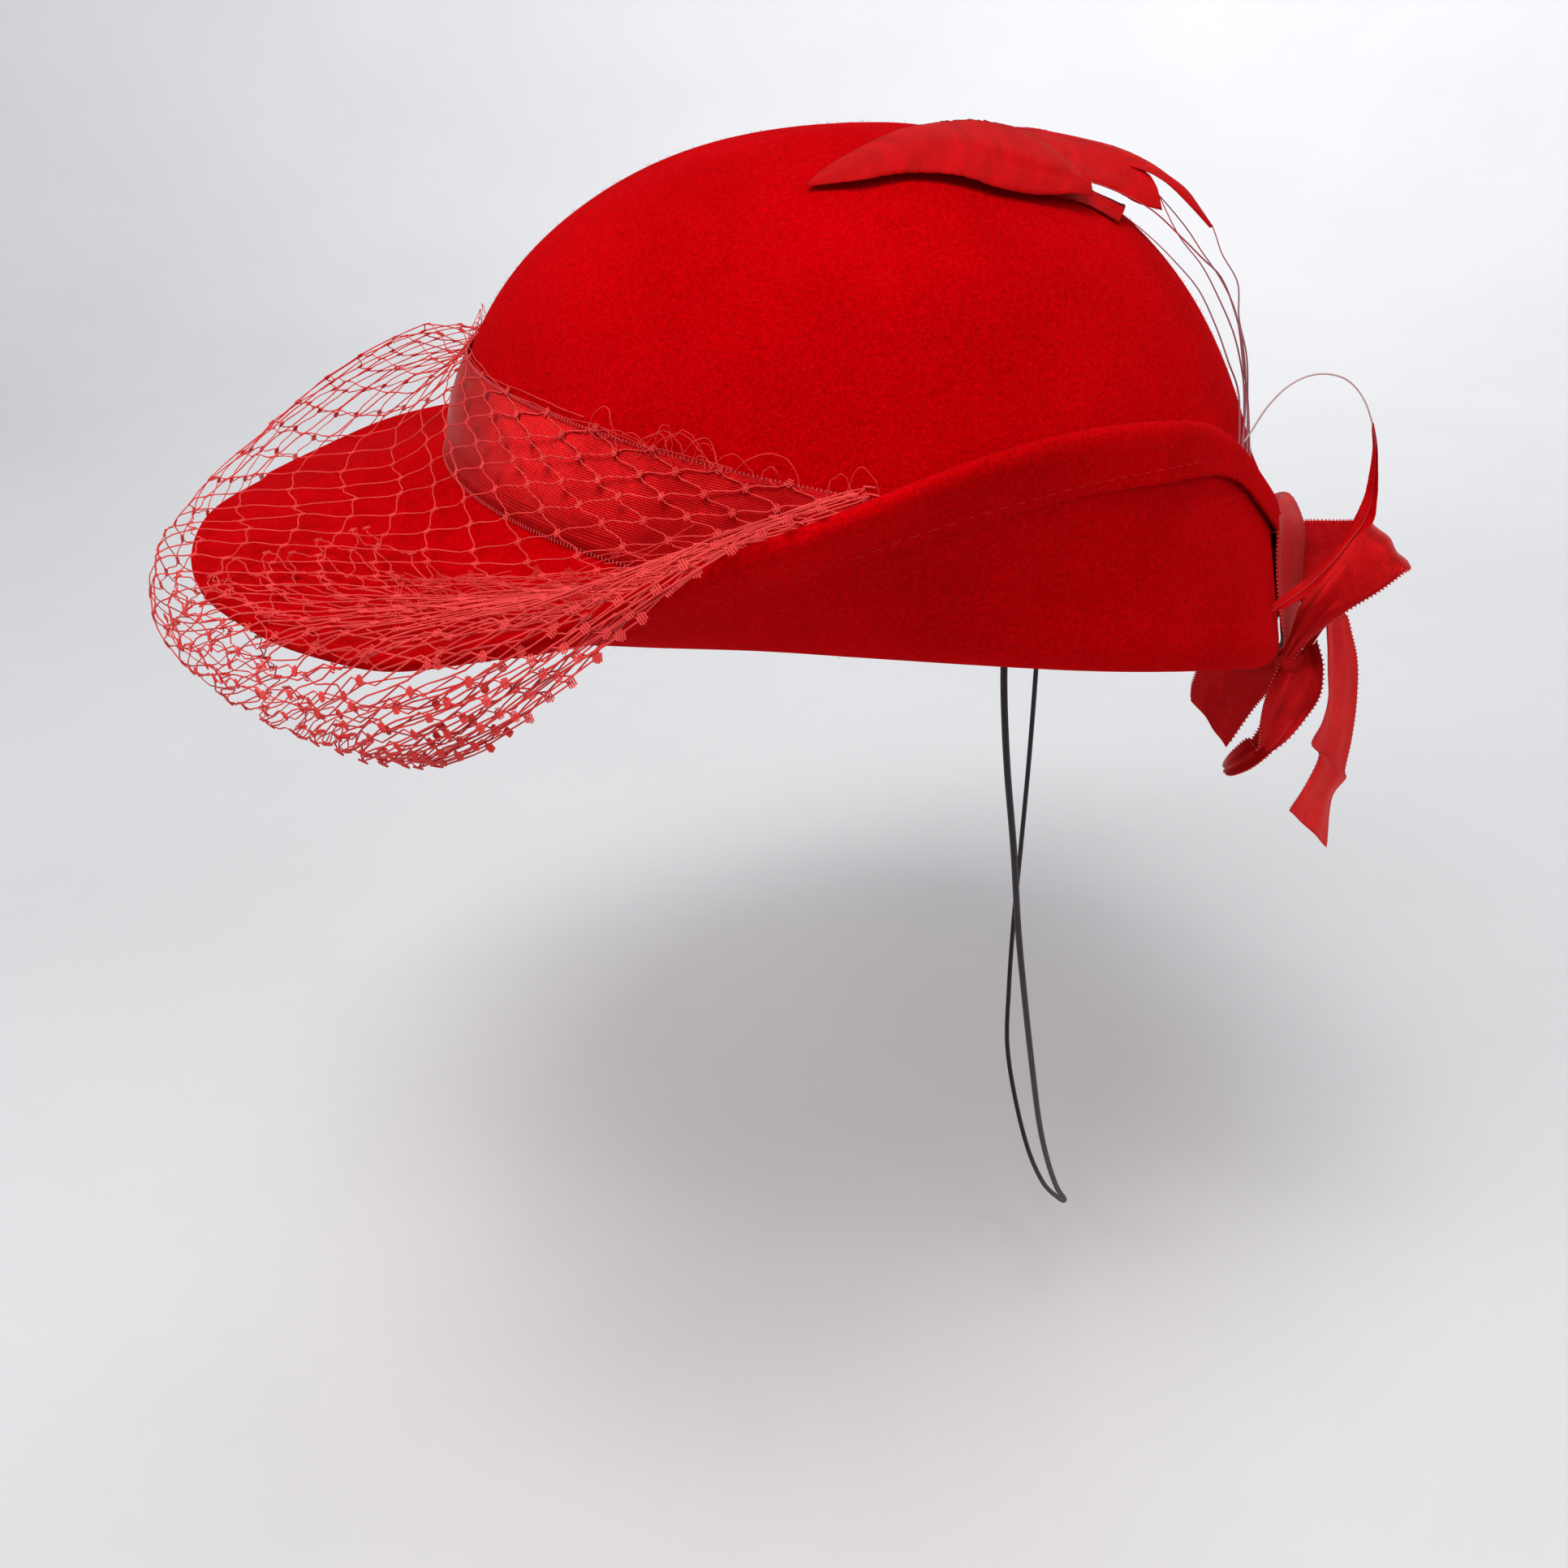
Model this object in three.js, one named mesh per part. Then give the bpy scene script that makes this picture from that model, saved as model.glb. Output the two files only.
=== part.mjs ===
// A woman's moulded felt hat: a round crown, a visor of a front brim that turns up at the sides and
// the back, a ribbon band with a bow, stripped feathers, a net veil and a chin elastic.
// Millimetres, +Z up, the wearer faces -Y, the wearer's left is +X.
// The origin is the middle of the head opening, at the mean height of the seam line.
import * as THREE from 'three';
import { ParametricGeometry } from 'three/addons/geometries/ParametricGeometry.js';
import { mergeVertices } from 'three/addons/utils/BufferGeometryUtils.js';

// Driving dimensions
const headLength = 212;          // crown at its foot, front to back
const headWidth = 176;           // crown at its foot, side to side
const crownRise = 91;            // top of the crown above the origin
const crownDrift = 1.4;          // the top sits this far back of the middle
const sideFullness = 2.26;       // 2 is an ellipse, more is fuller
const topFullness = 1.79;
const seamTip = 17.6;            // the seam is this much above the origin in front and below it behind
const feltWall = 2;
const hemWidth = 11;             // the edge is rolled under by this much
const ribbonWall = 0.6;          // the ribbon of the band
const bandReach = 21.5;          // the ribbon's top edge is this far up the crown
const clearance = 0.5;           // between the crown and what lies on it
const netWall = 1;
const netLap = 2;                // the net starts this far above the ribbon
const netHalfTurn = 95;          // and reaches this bearing on both sides
const bladeWall = 1;
const quillWidth = 1.4;
const elasticDiameter = 1.6;
const stripWall = 0.7;           // the loose ribbon of the bow
const knotRadii = { x: 7, y: 4.5, z: 6 };
const knotPlace = { x: 2, y: 119.3, z: -41 };

// The brim at each bearing, degrees from the front: how steeply it leaves the crown, the slope of its
// free part on the wearer's left and right, the straight start, the length of the bend, its width,
// and how far the foot of the ribbon stands off the crown
const brimRows = [
  { bearing: 0, drop: -16, left: -15, right: -14, start: 5, bend: 29, width: 73, flare: 2.6 },
  { bearing: 30, drop: -37, left: -7, right: 3, start: 5, bend: 29, width: 69, flare: 2.6 },
  { bearing: 55, drop: -43, left: 3, right: 9, start: 5, bend: 29, width: 67, flare: 2.6 },
  { bearing: 75, drop: -29, left: 17, right: 17, start: 5, bend: 29, width: 70, flare: 2.6 },
  { bearing: 95, drop: -13, left: 43, right: 43, start: 5, bend: 29, width: 73, flare: 2.2 },
  { bearing: 120, drop: -12, left: 79, right: 79, start: 5, bend: 27, width: 70, flare: 1.6 },
  { bearing: 145, drop: -27, left: 109, right: 110, start: 7, bend: 22, width: 66, flare: 1 },
  { bearing: 165, drop: -56, left: 112, right: 112, start: 8, bend: 15, width: 51, flare: 0.8 },
  { bearing: 180, drop: -74, left: 106, right: 106, start: 9, bend: 13, width: 46, flare: 0.8 },
];

// The net at each bearing: how far it stands past the brim's edge, hangs below it and turns in
const netRows = [
  { bearing: 0, reach: 15, drop: 18, tuck: 12 },
  { bearing: 35, reach: 14, drop: 18, tuck: 10 },
  { bearing: 60, reach: 11, drop: 21, tuck: 4 },
  { bearing: 80, reach: 8, drop: 16, tuck: -2 },
  { bearing: 95, reach: 5, drop: 5, tuck: -4 },
];

// Feathers: where the quill is tucked in behind the brim, how far it stands off the crown as it
// arches, where the blade starts and ends (seen from above), its width and its lift at both ends
const featherRows = [
  { rootX: 27, stand: 2.5, baseX: 21, baseY: 60, tipX: 47, tipY: 2, width: 14, low: 2.6, high: 1.2 },
  { rootX: 23, stand: 5.6, baseX: 17, baseY: 67, tipX: 31, tipY: 10, width: 13, low: 6, high: 2.6 },
  { rootX: 19, stand: 9.6, baseX: 10, baseY: 71, tipX: 14, tipY: 14, width: 13, low: 10, high: 4.4 },
  { rootX: 15, stand: 7, baseX: 3, baseY: 72, tipX: -1, tipY: 26, width: 14, low: 7.2, high: 2.6 },
  { rootX: 11.5, stand: 4.6, baseX: -4, baseY: 73, tipX: -14, tipY: 34, width: 13, low: 4.8, high: 1.2 },
];

const curlRoute = [
  { x: 34, y: 98.5, z: 14, width: 1.2 }, { x: 32, y: 103, z: 30, width: 1.2 },
  { x: 29, y: 109, z: 35.5, width: 1.2 }, { x: 27, y: 115, z: 37, width: 1.4 },
  { x: 26, y: 121, z: 33.5, width: 2 }, { x: 25, y: 125.5, z: 27, width: 3 },
  { x: 25, y: 128, z: 19, width: 4 }, { x: 26, y: 129, z: 11, width: 4.5 },
  { x: 28, y: 127, z: 4, width: 4.5 }, { x: 32, y: 123, z: -2, width: 4.5 },
  { x: 37, y: 119, z: -8, width: 5 }, { x: 41, y: 116, z: -13, width: 4.5 },
  { x: 46, y: 113.6, z: -18, width: 1 },
];

// Each strip of ribbon: its middle line, and the direction across it
const stripRows = {
  bow_loop_back: [
    { x: 5, y: 120.3, z: -35, ax: 0.1, ay: 0.9, az: -0.5, width: 6.5 },
    { x: 12, y: 124.3, z: -26, ax: 0.1, ay: 0.8, az: -0.6, width: 12 },
    { x: 14, y: 128.8, z: -16, ax: 0.1, ay: 0.7, az: -0.7, width: 14 },
    { x: 12, y: 132.8, z: -9, ax: 0, ay: 0.7, az: -0.7, width: 14 },
    { x: 7, y: 133.8, z: -7, ax: -0.1, ay: 0.65, az: -0.75, width: 14 },
    { x: 2, y: 129.3, z: -5.5, ax: -0.1, ay: 0.3, az: -0.9, width: 15 },
    { x: 0, y: 123.8, z: -7, ax: 0, ay: 0, az: -1, width: 15 },
    { x: 1, y: 118.8, z: -10, ax: 0, ay: 0, az: -1, width: 13 },
  ],
  bow_loop_low: [
    { x: 4, y: 118.9, z: -47.4, ax: 0.8, ay: 0.5, az: 0.1, width: 6 },
    { x: 10, y: 115.3, z: -52, ax: 0.5, ay: 0.8, az: 0.2, width: 10 },
    { x: 13, y: 111.8, z: -58, ax: 0.4, ay: 0.8, az: 0.3, width: 12 },
    { x: 12, y: 107.3, z: -62.5, ax: 0.4, ay: 0.8, az: 0.3, width: 11 },
    { x: 10, y: 103.3, z: -65, ax: 0.3, ay: 0.7, az: -0.5, width: 7 },
  ],
  bow_tail_left: [
    { x: 2, y: 125.3, z: -39, ax: 0.3, ay: 0.95, az: 0.1, width: 2.4 },
    { x: 3, y: 127.8, z: -46, ax: 0.3, ay: 0.95, az: 0, width: 6 },
    { x: 2, y: 129.3, z: -56, ax: 0.3, ay: 0.95, az: 0, width: 9 },
    { x: 1, y: 128.8, z: -66, ax: 0.3, ay: 0.95, az: 0.1, width: 11 },
    { x: 0, y: 127.3, z: -77, ax: 0.3, ay: 0.95, az: -0.2, width: 12 },
    { x: 0, y: 129.8, z: -91, ax: 0.3, ay: 0.9, az: -0.3, width: 4 },
  ],
  bow_tail_right: [
    { x: -1, y: 118.1, z: -47.6, ax: 0.3, ay: 0.95, az: 0, width: 7 },
    { x: -9, y: 107.8, z: -52, ax: 0.2, ay: 0.97, az: 0.2, width: 15 },
    { x: -14, y: 101.3, z: -58, ax: 0.1, ay: 0.95, az: 0.3, width: 17 },
    { x: -16, y: 100.3, z: -65, ax: 0.1, ay: 0.95, az: 0.3, width: 12 },
    { x: -17, y: 102.3, z: -71, ax: 0.1, ay: 0.95, az: 0.3, width: 4 },
  ],
};

// The elastic leaves the hat inside its left wall, passes behind the neck and comes back on the right
const elasticRoute = [
  [74.8, 47, -1], [74.8, 47.5, -12], [74.8, 48, -24], [74.6, 49.5, -42], [73.5, 52, -64],
  [70, 54, -88], [64, 56.5, -113], [56, 59, -138], [46, 62, -166], [35, 65, -188], [23, 68, -207],
  [8, 70.5, -224], [-8, 69, -238], [-24, 63, -246], [-38, 57, -245], [-50, 51, -234], [-60, 46, -216],
  [-67, 45, -196], [-71.5, 45, -172], [-73.6, 46, -140], [-74.6, 47, -105], [-74.8, 47.5, -70],
  [-74.8, 47.5, -38], [-74.8, 47.5, -14], [-74.8, 47, -1],
];

const felt = new THREE.MeshStandardMaterial({ color: 0xb90a12, roughness: 0.95, metalness: 0 });
const satin = new THREE.MeshStandardMaterial({ color: 0xc4101c, roughness: 0.35, metalness: 0 });
const net = new THREE.MeshStandardMaterial({ color: 0xd8484c, roughness: 0.7, metalness: 0 });
const plume = new THREE.MeshStandardMaterial({ color: 0xc81a20, roughness: 0.55, metalness: 0 });
const rubber = new THREE.MeshStandardMaterial({ color: 0x141216, roughness: 0.8, metalness: 0 });

const radians = THREE.MathUtils.degToRad;
const up = new THREE.Vector3(0, 0, 1);
const hat = new THREE.Group();

// Smooth value of one column of a table at a bearing; the ends are level
function rowValue(rows, column, bearing) {
  const last = rows.length - 1;
  let i = 0;
  while (i < last - 1 && bearing > rows[i + 1].bearing) i += 1;
  const slope = (k) => {
    if (k === 0 || k === last) return 0;
    const rise = rows[k + 1][column] - rows[k - 1][column];
    return rise / (rows[k + 1].bearing - rows[k - 1].bearing);
  };
  const span = rows[i + 1].bearing - rows[i].bearing;
  const f = (bearing - rows[i].bearing) / span;
  const f2 = f * f;
  const f3 = f2 * f;
  return (2 * f3 - 3 * f2 + 1) * rows[i][column] + (f3 - 2 * f2 + f) * span * slope(i)
    + (3 * f2 - 2 * f3) * rows[i + 1][column] + (f3 - f2) * span * slope(i + 1);
}

// Outer face of the crown: bearing in degrees from the front towards the wearer's left,
// climb from 0 at the seam to 1 at the top
function crownPoint(bearing, climb) {
  const angle = climb * Math.PI / 2;
  const spread = Math.max(Math.cos(angle), 0) ** (2 / sideFullness);
  const rise = Math.sin(angle) ** (2 / topFullness);
  const turn = radians(bearing);
  return new THREE.Vector3(
    headWidth / 2 * spread * Math.sin(turn),
    -headLength / 2 * spread * Math.cos(turn) + crownDrift * rise,
    seamTip * Math.cos(turn) * (1 - rise) + crownRise * rise,
  );
}

function crownNormal(bearing, climb) {
  if (climb > 0.995) return up.clone();
  const step = 0.002;
  const low = Math.max(climb - step, 0);
  const across = crownPoint(bearing + 1, climb).sub(crownPoint(bearing - 1, climb));
  const along = crownPoint(bearing, climb + step).sub(crownPoint(bearing, low));
  return across.cross(along).normalize();
}

function offCrown(bearing, climb, distance) {
  return crownPoint(bearing, climb).addScaledVector(crownNormal(bearing, climb), distance);
}

// The climb at which a path straight up the crown has covered a length
function climbAt(bearing, length) {
  const step = 0.004;
  let climb = 0;
  let covered = 0;
  let from = crownPoint(bearing, 0);
  while (covered < length && climb < 1) {
    climb += step;
    const to = crownPoint(bearing, climb);
    covered += to.distanceTo(from);
    from = to;
  }
  return climb;
}

// The height of the crown's outer face over a place seen from above
function crownHeight(x, y) {
  const bearing = THREE.MathUtils.radToDeg(Math.atan2(x / headWidth, -(y - crownDrift) / headLength));
  let low = 0;
  let high = 1;
  for (let i = 0; i < 24; i += 1) {
    const mid = (low + high) / 2;
    const p = crownPoint(bearing, mid);
    if (Math.hypot(p.x, p.y - crownDrift) > Math.hypot(x, y - crownDrift)) low = mid;
    else high = mid;
  }
  return crownPoint(bearing, low).z;
}

// A bearing as an angle from the front on either side, 0 to 180
function sideOf(bearing) {
  return Math.abs(THREE.MathUtils.euclideanModulo(bearing + 180, 360) - 180);
}

const brimWidth = (bearing) => rowValue(brimRows, 'width', sideOf(bearing));

// Outward direction of the brim at a bearing
function outward(bearing) {
  const turn = radians(bearing);
  return new THREE.Vector3(Math.sin(turn) / headWidth, -Math.cos(turn) / headLength, 0).normalize();
}

// Upper face of the brim at a bearing, a length out from the seam, and the direction square to it
function brimPoint(bearing, length, depth) {
  const side = sideOf(bearing);
  const onLeft = Math.sin(radians(bearing)) >= 0;
  const out = outward(bearing);
  const drop = radians(rowValue(brimRows, 'drop', side));
  const slope = radians(rowValue(brimRows, onLeft ? 'left' : 'right', side));
  const start = rowValue(brimRows, 'start', side);
  const bend = rowValue(brimRows, 'bend', side);
  const angleAt = (s) => {
    const f = THREE.MathUtils.clamp((s - start) / bend, 0, 1);
    return drop + (slope - drop) * f * f * (3 - 2 * f);
  };
  const steps = 40;
  const step = length / steps;
  const point = crownPoint(bearing, 0);
  for (let i = 0; i < steps; i += 1) {
    const angle = angleAt((i + 0.5) * step);
    point.addScaledVector(out, step * Math.cos(angle)).addScaledVector(up, step * Math.sin(angle));
  }
  const end = angleAt(length);
  point.addScaledVector(out, depth * Math.sin(end)).addScaledVector(up, -depth * Math.cos(end));
  return point;
}

// One closed body of shared vertices, faces out, from any closed three.js geometry
function bodyOf(geometry) {
  geometry.deleteAttribute('normal');
  geometry.deleteAttribute('uv');
  const merged = mergeVertices(geometry, 1e-3);
  const place = merged.getAttribute('position');
  const corner = [0, 1, 2].map(() => new THREE.Vector3());
  const kept = [];
  let volume = 0;
  for (let i = 0; i < merged.index.count; i += 3) {
    const face = [0, 1, 2].map((k) => merged.index.getX(i + k));
    if (new Set(face).size < 3) continue;
    kept.push(...face);
    face.forEach((v, k) => corner[k].fromBufferAttribute(place, v));
    volume += corner[0].dot(corner[1].clone().cross(corner[2])) / 6;
  }
  if (volume < 0) kept.reverse();
  merged.setIndex(kept);
  merged.computeVertexNormals();
  return merged;
}

function addPiece(name, geometry, material) {
  const mesh = new THREE.Mesh(bodyOf(geometry), material.clone());
  mesh.name = name;
  hat.add(mesh);
}

// A box bent into a sheet: place(u, v, w) gives the point for u along, v across and w through it,
// u and v from 0 to 1 and w from -0.5 to 0.5
function bentSheet(along, across, place) {
  const geometry = new THREE.BoxGeometry(1, 1, 1, along, across, 1);
  const position = geometry.getAttribute('position');
  for (let i = 0; i < position.count; i += 1) {
    const p = place(position.getX(i) + 0.5, position.getY(i) + 0.5, position.getZ(i));
    position.setXYZ(i, p.x, p.y, p.z);
  }
  return geometry;
}

// Felt: one closed section from the top of the crown down its outer face, out along the brim,
// round the rolled edge, back along the underside and up the inner face
function feltSection(bearing) {
  const width = brimWidth(bearing);
  const crownSteps = 11;
  const brimSteps = 13;
  const section = [];
  for (let i = 0; i <= crownSteps; i += 1) section.push(crownPoint(bearing, 1 - i / crownSteps));
  const even = (i, n, length) => length * i / n;
  for (let i = 1; i <= brimSteps; i += 1) section.push(brimPoint(bearing, even(i, brimSteps, width), 0));
  for (const turn of [45, 90, 135]) {
    const past = feltWall * Math.sin(radians(turn));
    const deep = feltWall * (1 - Math.cos(radians(turn)));
    section.push(brimPoint(bearing, width + past, deep));
  }
  for (const back of [0, 0.5, 1]) section.push(brimPoint(bearing, width - back * hemWidth, 2 * feltWall));
  const bare = width - hemWidth - 0.6;
  for (let i = 0; i < brimSteps - 1; i += 1) {
    section.push(brimPoint(bearing, bare - even(i, brimSteps - 1, bare), feltWall));
  }
  for (let i = 0; i <= crownSteps; i += 1) section.push(offCrown(bearing, i / crownSteps, -feltWall));
  return section;
}

function addFelt() {
  const bearings = 76;
  const sections = [];
  for (let i = 0; i < bearings; i += 1) sections.push(feltSection(i * 360 / bearings));
  const stations = sections[0].length - 1;
  const place = (u, v, target) => {
    target.copy(sections[Math.round(u * bearings) % bearings][Math.round(v * stations)]);
  };
  addPiece('hat_body', new ParametricGeometry(place, bearings, stations), felt);
}

// The ribbon rests on the start of the brim and leans in to the crown
function addBand() {
  const bearings = 76;
  const footLength = 2.8;
  const bandRows = 4;
  const rows = [];
  for (let i = 0; i < bearings; i += 1) {
    const bearing = i * 360 / bearings;
    const flare = rowValue(brimRows, 'flare', sideOf(bearing));
    const climbs = [];
    for (let k = 1; k <= bandRows; k += 1) climbs.push(climbAt(bearing, bandReach * k / bandRows));
    const off = (k) => THREE.MathUtils.lerp(flare, clearance, (k + 1) / bandRows);
    const inner = climbs.map((climb, k) => offCrown(bearing, climb, off(k)));
    const outer = climbs.map((climb, k) => offCrown(bearing, climb, off(k) + ribbonWall));
    inner.unshift(brimPoint(bearing, footLength, -clearance));
    outer.unshift(brimPoint(bearing, footLength + ribbonWall, -clearance));
    rows.push([...inner, ...outer.reverse(), inner[0]]);
  }
  const around = rows[0].length - 1;
  const place = (u, v, target) => {
    target.copy(rows[Math.round(u * bearings) % bearings][Math.round(v * around)]);
  };
  addPiece('ribbon_band', new ParametricGeometry(place, bearings, around), satin);
}

// The net hangs from the top of the band, swells over the brim, rounds its edge and curls in below
function netSection(bearing) {
  const side = Math.abs(bearing);
  const reach = rowValue(netRows, 'reach', side);
  const drop = rowValue(netRows, 'drop', side);
  const tuck = rowValue(netRows, 'tuck', side);
  const out = outward(bearing);
  const top = offCrown(bearing, climbAt(bearing, bandReach + netLap), clearance + netWall / 2);
  const edge = brimPoint(bearing, brimWidth(bearing), feltWall);
  const past = (o, z) => edge.clone().addScaledVector(out, o).addScaledVector(up, z);
  const swell = (f, z) => top.clone().lerp(edge, f).addScaledVector(up, z);
  return new THREE.CatmullRomCurve3([
    top, swell(0.35, 8), swell(0.75, 11), past(reach * 0.7, 5), past(reach, -drop * 0.35),
    past(reach * 0.5, -drop * 0.9), past(-tuck, -drop),
  ], false, 'centripetal');
}

function addVeil() {
  const sections = new Map();
  const place = (u, v, w) => {
    const bearing = THREE.MathUtils.lerp(-netHalfTurn, netHalfTurn, u);
    const key = bearing.toFixed(3);
    if (!sections.has(key)) sections.set(key, netSection(bearing));
    const curve = sections.get(key);
    const turn = radians(bearing);
    const side = new THREE.Vector3(Math.cos(turn), Math.sin(turn), 0);
    const normal = curve.getTangentAt(v).cross(side).normalize();
    return curve.getPointAt(v).addScaledVector(normal, w * netWall);
  };
  addPiece('veil', bentSheet(34, 14, place), net);
}

// A flat strip along a smooth line, with a width and a direction across at each row
function flatStrip(rows, wall, steps) {
  const line = new THREE.CatmullRomCurve3(rows.map((r) => new THREE.Vector3(r.x, r.y, r.z)), false, 'centripetal');
  const last = rows.length - 1;
  return bentSheet(steps, 1, (u, v, w) => {
    const i = Math.min(Math.floor(u * last), last - 1);
    const f = u * last - i;
    const point = line.getPoint(u);
    const tangent = line.getTangent(u);
    const across = rows[i].across.clone().lerp(rows[i + 1].across, f);
    across.addScaledVector(tangent, -across.dot(tangent)).normalize();
    const through = tangent.clone().cross(across).normalize();
    const width = THREE.MathUtils.lerp(rows[i].width, rows[i + 1].width, f);
    return point.addScaledVector(across, (v - 0.5) * width).addScaledVector(through, w * wall);
  });
}

// The way out of the crown over a place seen from above
function crownUp(x, y) {
  const step = 1;
  const slopeX = (crownHeight(x + step, y) - crownHeight(x - step, y)) / (2 * step);
  const slopeY = (crownHeight(x, y + step) - crownHeight(x, y - step)) / (2 * step);
  return new THREE.Vector3(-slopeX, -slopeY, 1).normalize();
}

function featherRoute(row) {
  const bearing = 180 - THREE.MathUtils.radToDeg(Math.asin(row.rootX / (headWidth / 2)));
  const { stand } = row;
  const quillRows = [[16, 2.4], [36, 2], [55, 1.6 + stand * 0.2], [71, 0.6 + stand * 0.75], [86, stand]];
  const quill = quillRows.map(([length, off]) => ({
    point: offCrown(bearing, climbAt(bearing, length), off),
    across: new THREE.Vector3(1, 0, 0),
  }));
  const blade = [0, 0.22, 0.6, 0.88, 1].map((f) => {
    const x = THREE.MathUtils.lerp(row.baseX, row.tipX, f);
    const y = THREE.MathUtils.lerp(row.baseY, row.tipY, f);
    const normal = crownUp(x, y);
    const heading = new THREE.Vector3(row.tipX - row.baseX, row.tipY - row.baseY, 0);
    const point = new THREE.Vector3(x, y, crownHeight(x, y)).addScaledVector(normal, THREE.MathUtils.lerp(row.low, row.high, f));
    return { point, across: normal.cross(heading).normalize() };
  });
  const widths = [1, 1, 1, 1, 1, 4, row.width / quillWidth, row.width / quillWidth, 5, 0.6];
  return [...quill, ...blade].map(({ point, across }, i) => ({
    x: point.x, y: point.y, z: point.z, across, width: quillWidth * widths[i],
  }));
}

function addFeathers() {
  featherRows.forEach((row, i) => {
    addPiece(`feather_${i + 1}`, flatStrip(featherRoute(row), bladeWall, 26), plume);
  });
  const curl = curlRoute.map((r) => ({ ...r, across: new THREE.Vector3(1, 0.1, 0.2) }));
  addPiece('curl_feather', flatStrip(curl, bladeWall, 36), plume);
}

// The ribbon comes out from between the crown and the brim, over the brim's edge and down its back
function addDrop() {
  const rim = brimWidth(180);
  const route = new THREE.CatmullRomCurve3([
    new THREE.Vector3(rim - 9, -1, 0), new THREE.Vector3(rim, -1.4, 0),
    new THREE.Vector3(rim + 3.8, feltWall, 0), new THREE.Vector3(rim, 2 * feltWall + 1.4, 0),
    new THREE.Vector3(rim - 14, 2 * feltWall + 1.1, 0), new THREE.Vector3(rim - 27, 2 * feltWall + 1.1, 0),
  ], false, 'centripetal');
  const halfSpan = (u) => THREE.MathUtils.lerp(6, 3, u);
  addPiece('ribbon_drop', bentSheet(20, 3, (u, v, w) => {
    const at = route.getPoint(u);
    const along = route.getTangent(u);
    const through = w * stripWall;
    const bearing = 180 + (v - 0.5) * 2 * halfSpan(u);
    return brimPoint(bearing, at.x - along.y * through, at.y + along.x * through);
  }), satin);
}

function addBow() {
  for (const [name, rows] of Object.entries(stripRows)) {
    const strip = rows.map((r) => ({ ...r, across: new THREE.Vector3(r.ax, r.ay, r.az) }));
    addPiece(name, flatStrip(strip, stripWall, 18), satin);
  }
  const knot = new THREE.SphereGeometry(1, 16, 10);
  knot.scale(knotRadii.x, knotRadii.y, knotRadii.z);
  knot.translate(knotPlace.x, knotPlace.y, knotPlace.z);
  addPiece('bow_knot', knot, satin);
}

function addElastic() {
  const sides = 8;
  const section = new THREE.Shape();
  for (let i = 0; i < sides; i += 1) {
    const turn = 2 * Math.PI * i / sides;
    const x = elasticDiameter / 2 * Math.cos(turn);
    const y = elasticDiameter / 2 * Math.sin(turn);
    if (i === 0) section.moveTo(x, y);
    else section.lineTo(x, y);
  }
  section.closePath();
  const route = elasticRoute.map(([x, y, z]) => new THREE.Vector3(x, y, z));
  const line = new THREE.CatmullRomCurve3(route, false, 'centripetal');
  const geometry = new THREE.ExtrudeGeometry(section, { steps: 78, extrudePath: line, bevelEnabled: false });
  addPiece('chin_elastic', geometry, rubber);
}

addFelt();
addBand();
addVeil();
addFeathers();
addDrop();
addBow();
addElastic();

export default hat;
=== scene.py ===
import math
import random

import bmesh
import bpy
import numpy as np
from mathutils import Matrix, Vector


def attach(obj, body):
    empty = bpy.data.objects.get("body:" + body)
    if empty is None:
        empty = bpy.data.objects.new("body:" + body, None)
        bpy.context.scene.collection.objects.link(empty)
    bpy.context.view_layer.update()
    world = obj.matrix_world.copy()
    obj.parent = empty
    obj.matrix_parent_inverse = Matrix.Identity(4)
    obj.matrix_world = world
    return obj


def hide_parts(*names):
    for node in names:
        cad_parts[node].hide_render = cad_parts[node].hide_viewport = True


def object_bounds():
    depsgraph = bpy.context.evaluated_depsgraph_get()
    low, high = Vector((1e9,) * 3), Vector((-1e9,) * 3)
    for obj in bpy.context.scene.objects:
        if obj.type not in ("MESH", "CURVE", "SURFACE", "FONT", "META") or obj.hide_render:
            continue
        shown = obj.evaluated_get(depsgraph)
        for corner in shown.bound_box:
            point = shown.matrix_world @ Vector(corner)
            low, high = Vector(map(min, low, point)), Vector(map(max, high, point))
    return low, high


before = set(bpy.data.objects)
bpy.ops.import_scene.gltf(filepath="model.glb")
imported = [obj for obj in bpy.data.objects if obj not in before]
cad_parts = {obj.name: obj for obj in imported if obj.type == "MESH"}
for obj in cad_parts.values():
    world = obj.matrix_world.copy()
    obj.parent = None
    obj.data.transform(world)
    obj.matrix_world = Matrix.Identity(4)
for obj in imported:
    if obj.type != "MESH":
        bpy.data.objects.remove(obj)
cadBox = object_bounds()
mm = 0.001  # shapes are worked out in millimetres and made in metres
print("frame loaded,", len(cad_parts), "nodes")


def lerp(start, end, f):
    return start + (end - start) * f


def smooth(f):
    f = min(max(f, 0), 1)
    return f * f * (3 - 2 * f)


def unit(vector):
    return vector / max(np.linalg.norm(vector), 1e-9)


def rowValue(rows, column, bearing):
    # smooth value of one column of a table at a bearing, level at both ends
    last = len(rows) - 1
    i = 0
    while i < last - 1 and bearing > rows[i + 1][0]:
        i += 1

    def slope(k):
        if k in (0, last):
            return 0
        return (rows[k + 1][column] - rows[k - 1][column]) / (rows[k + 1][0] - rows[k - 1][0])

    span = rows[i + 1][0] - rows[i][0]
    f = (bearing - rows[i][0]) / span
    start, end = rows[i][column], rows[i + 1][column]
    return ((2 * f**3 - 3 * f**2 + 1) * start + (f**3 - 2 * f**2 + f) * span * slope(i)
            + (3 * f**2 - 2 * f**3) * end + (f**3 - f**2) * span * slope(i + 1))


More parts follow.
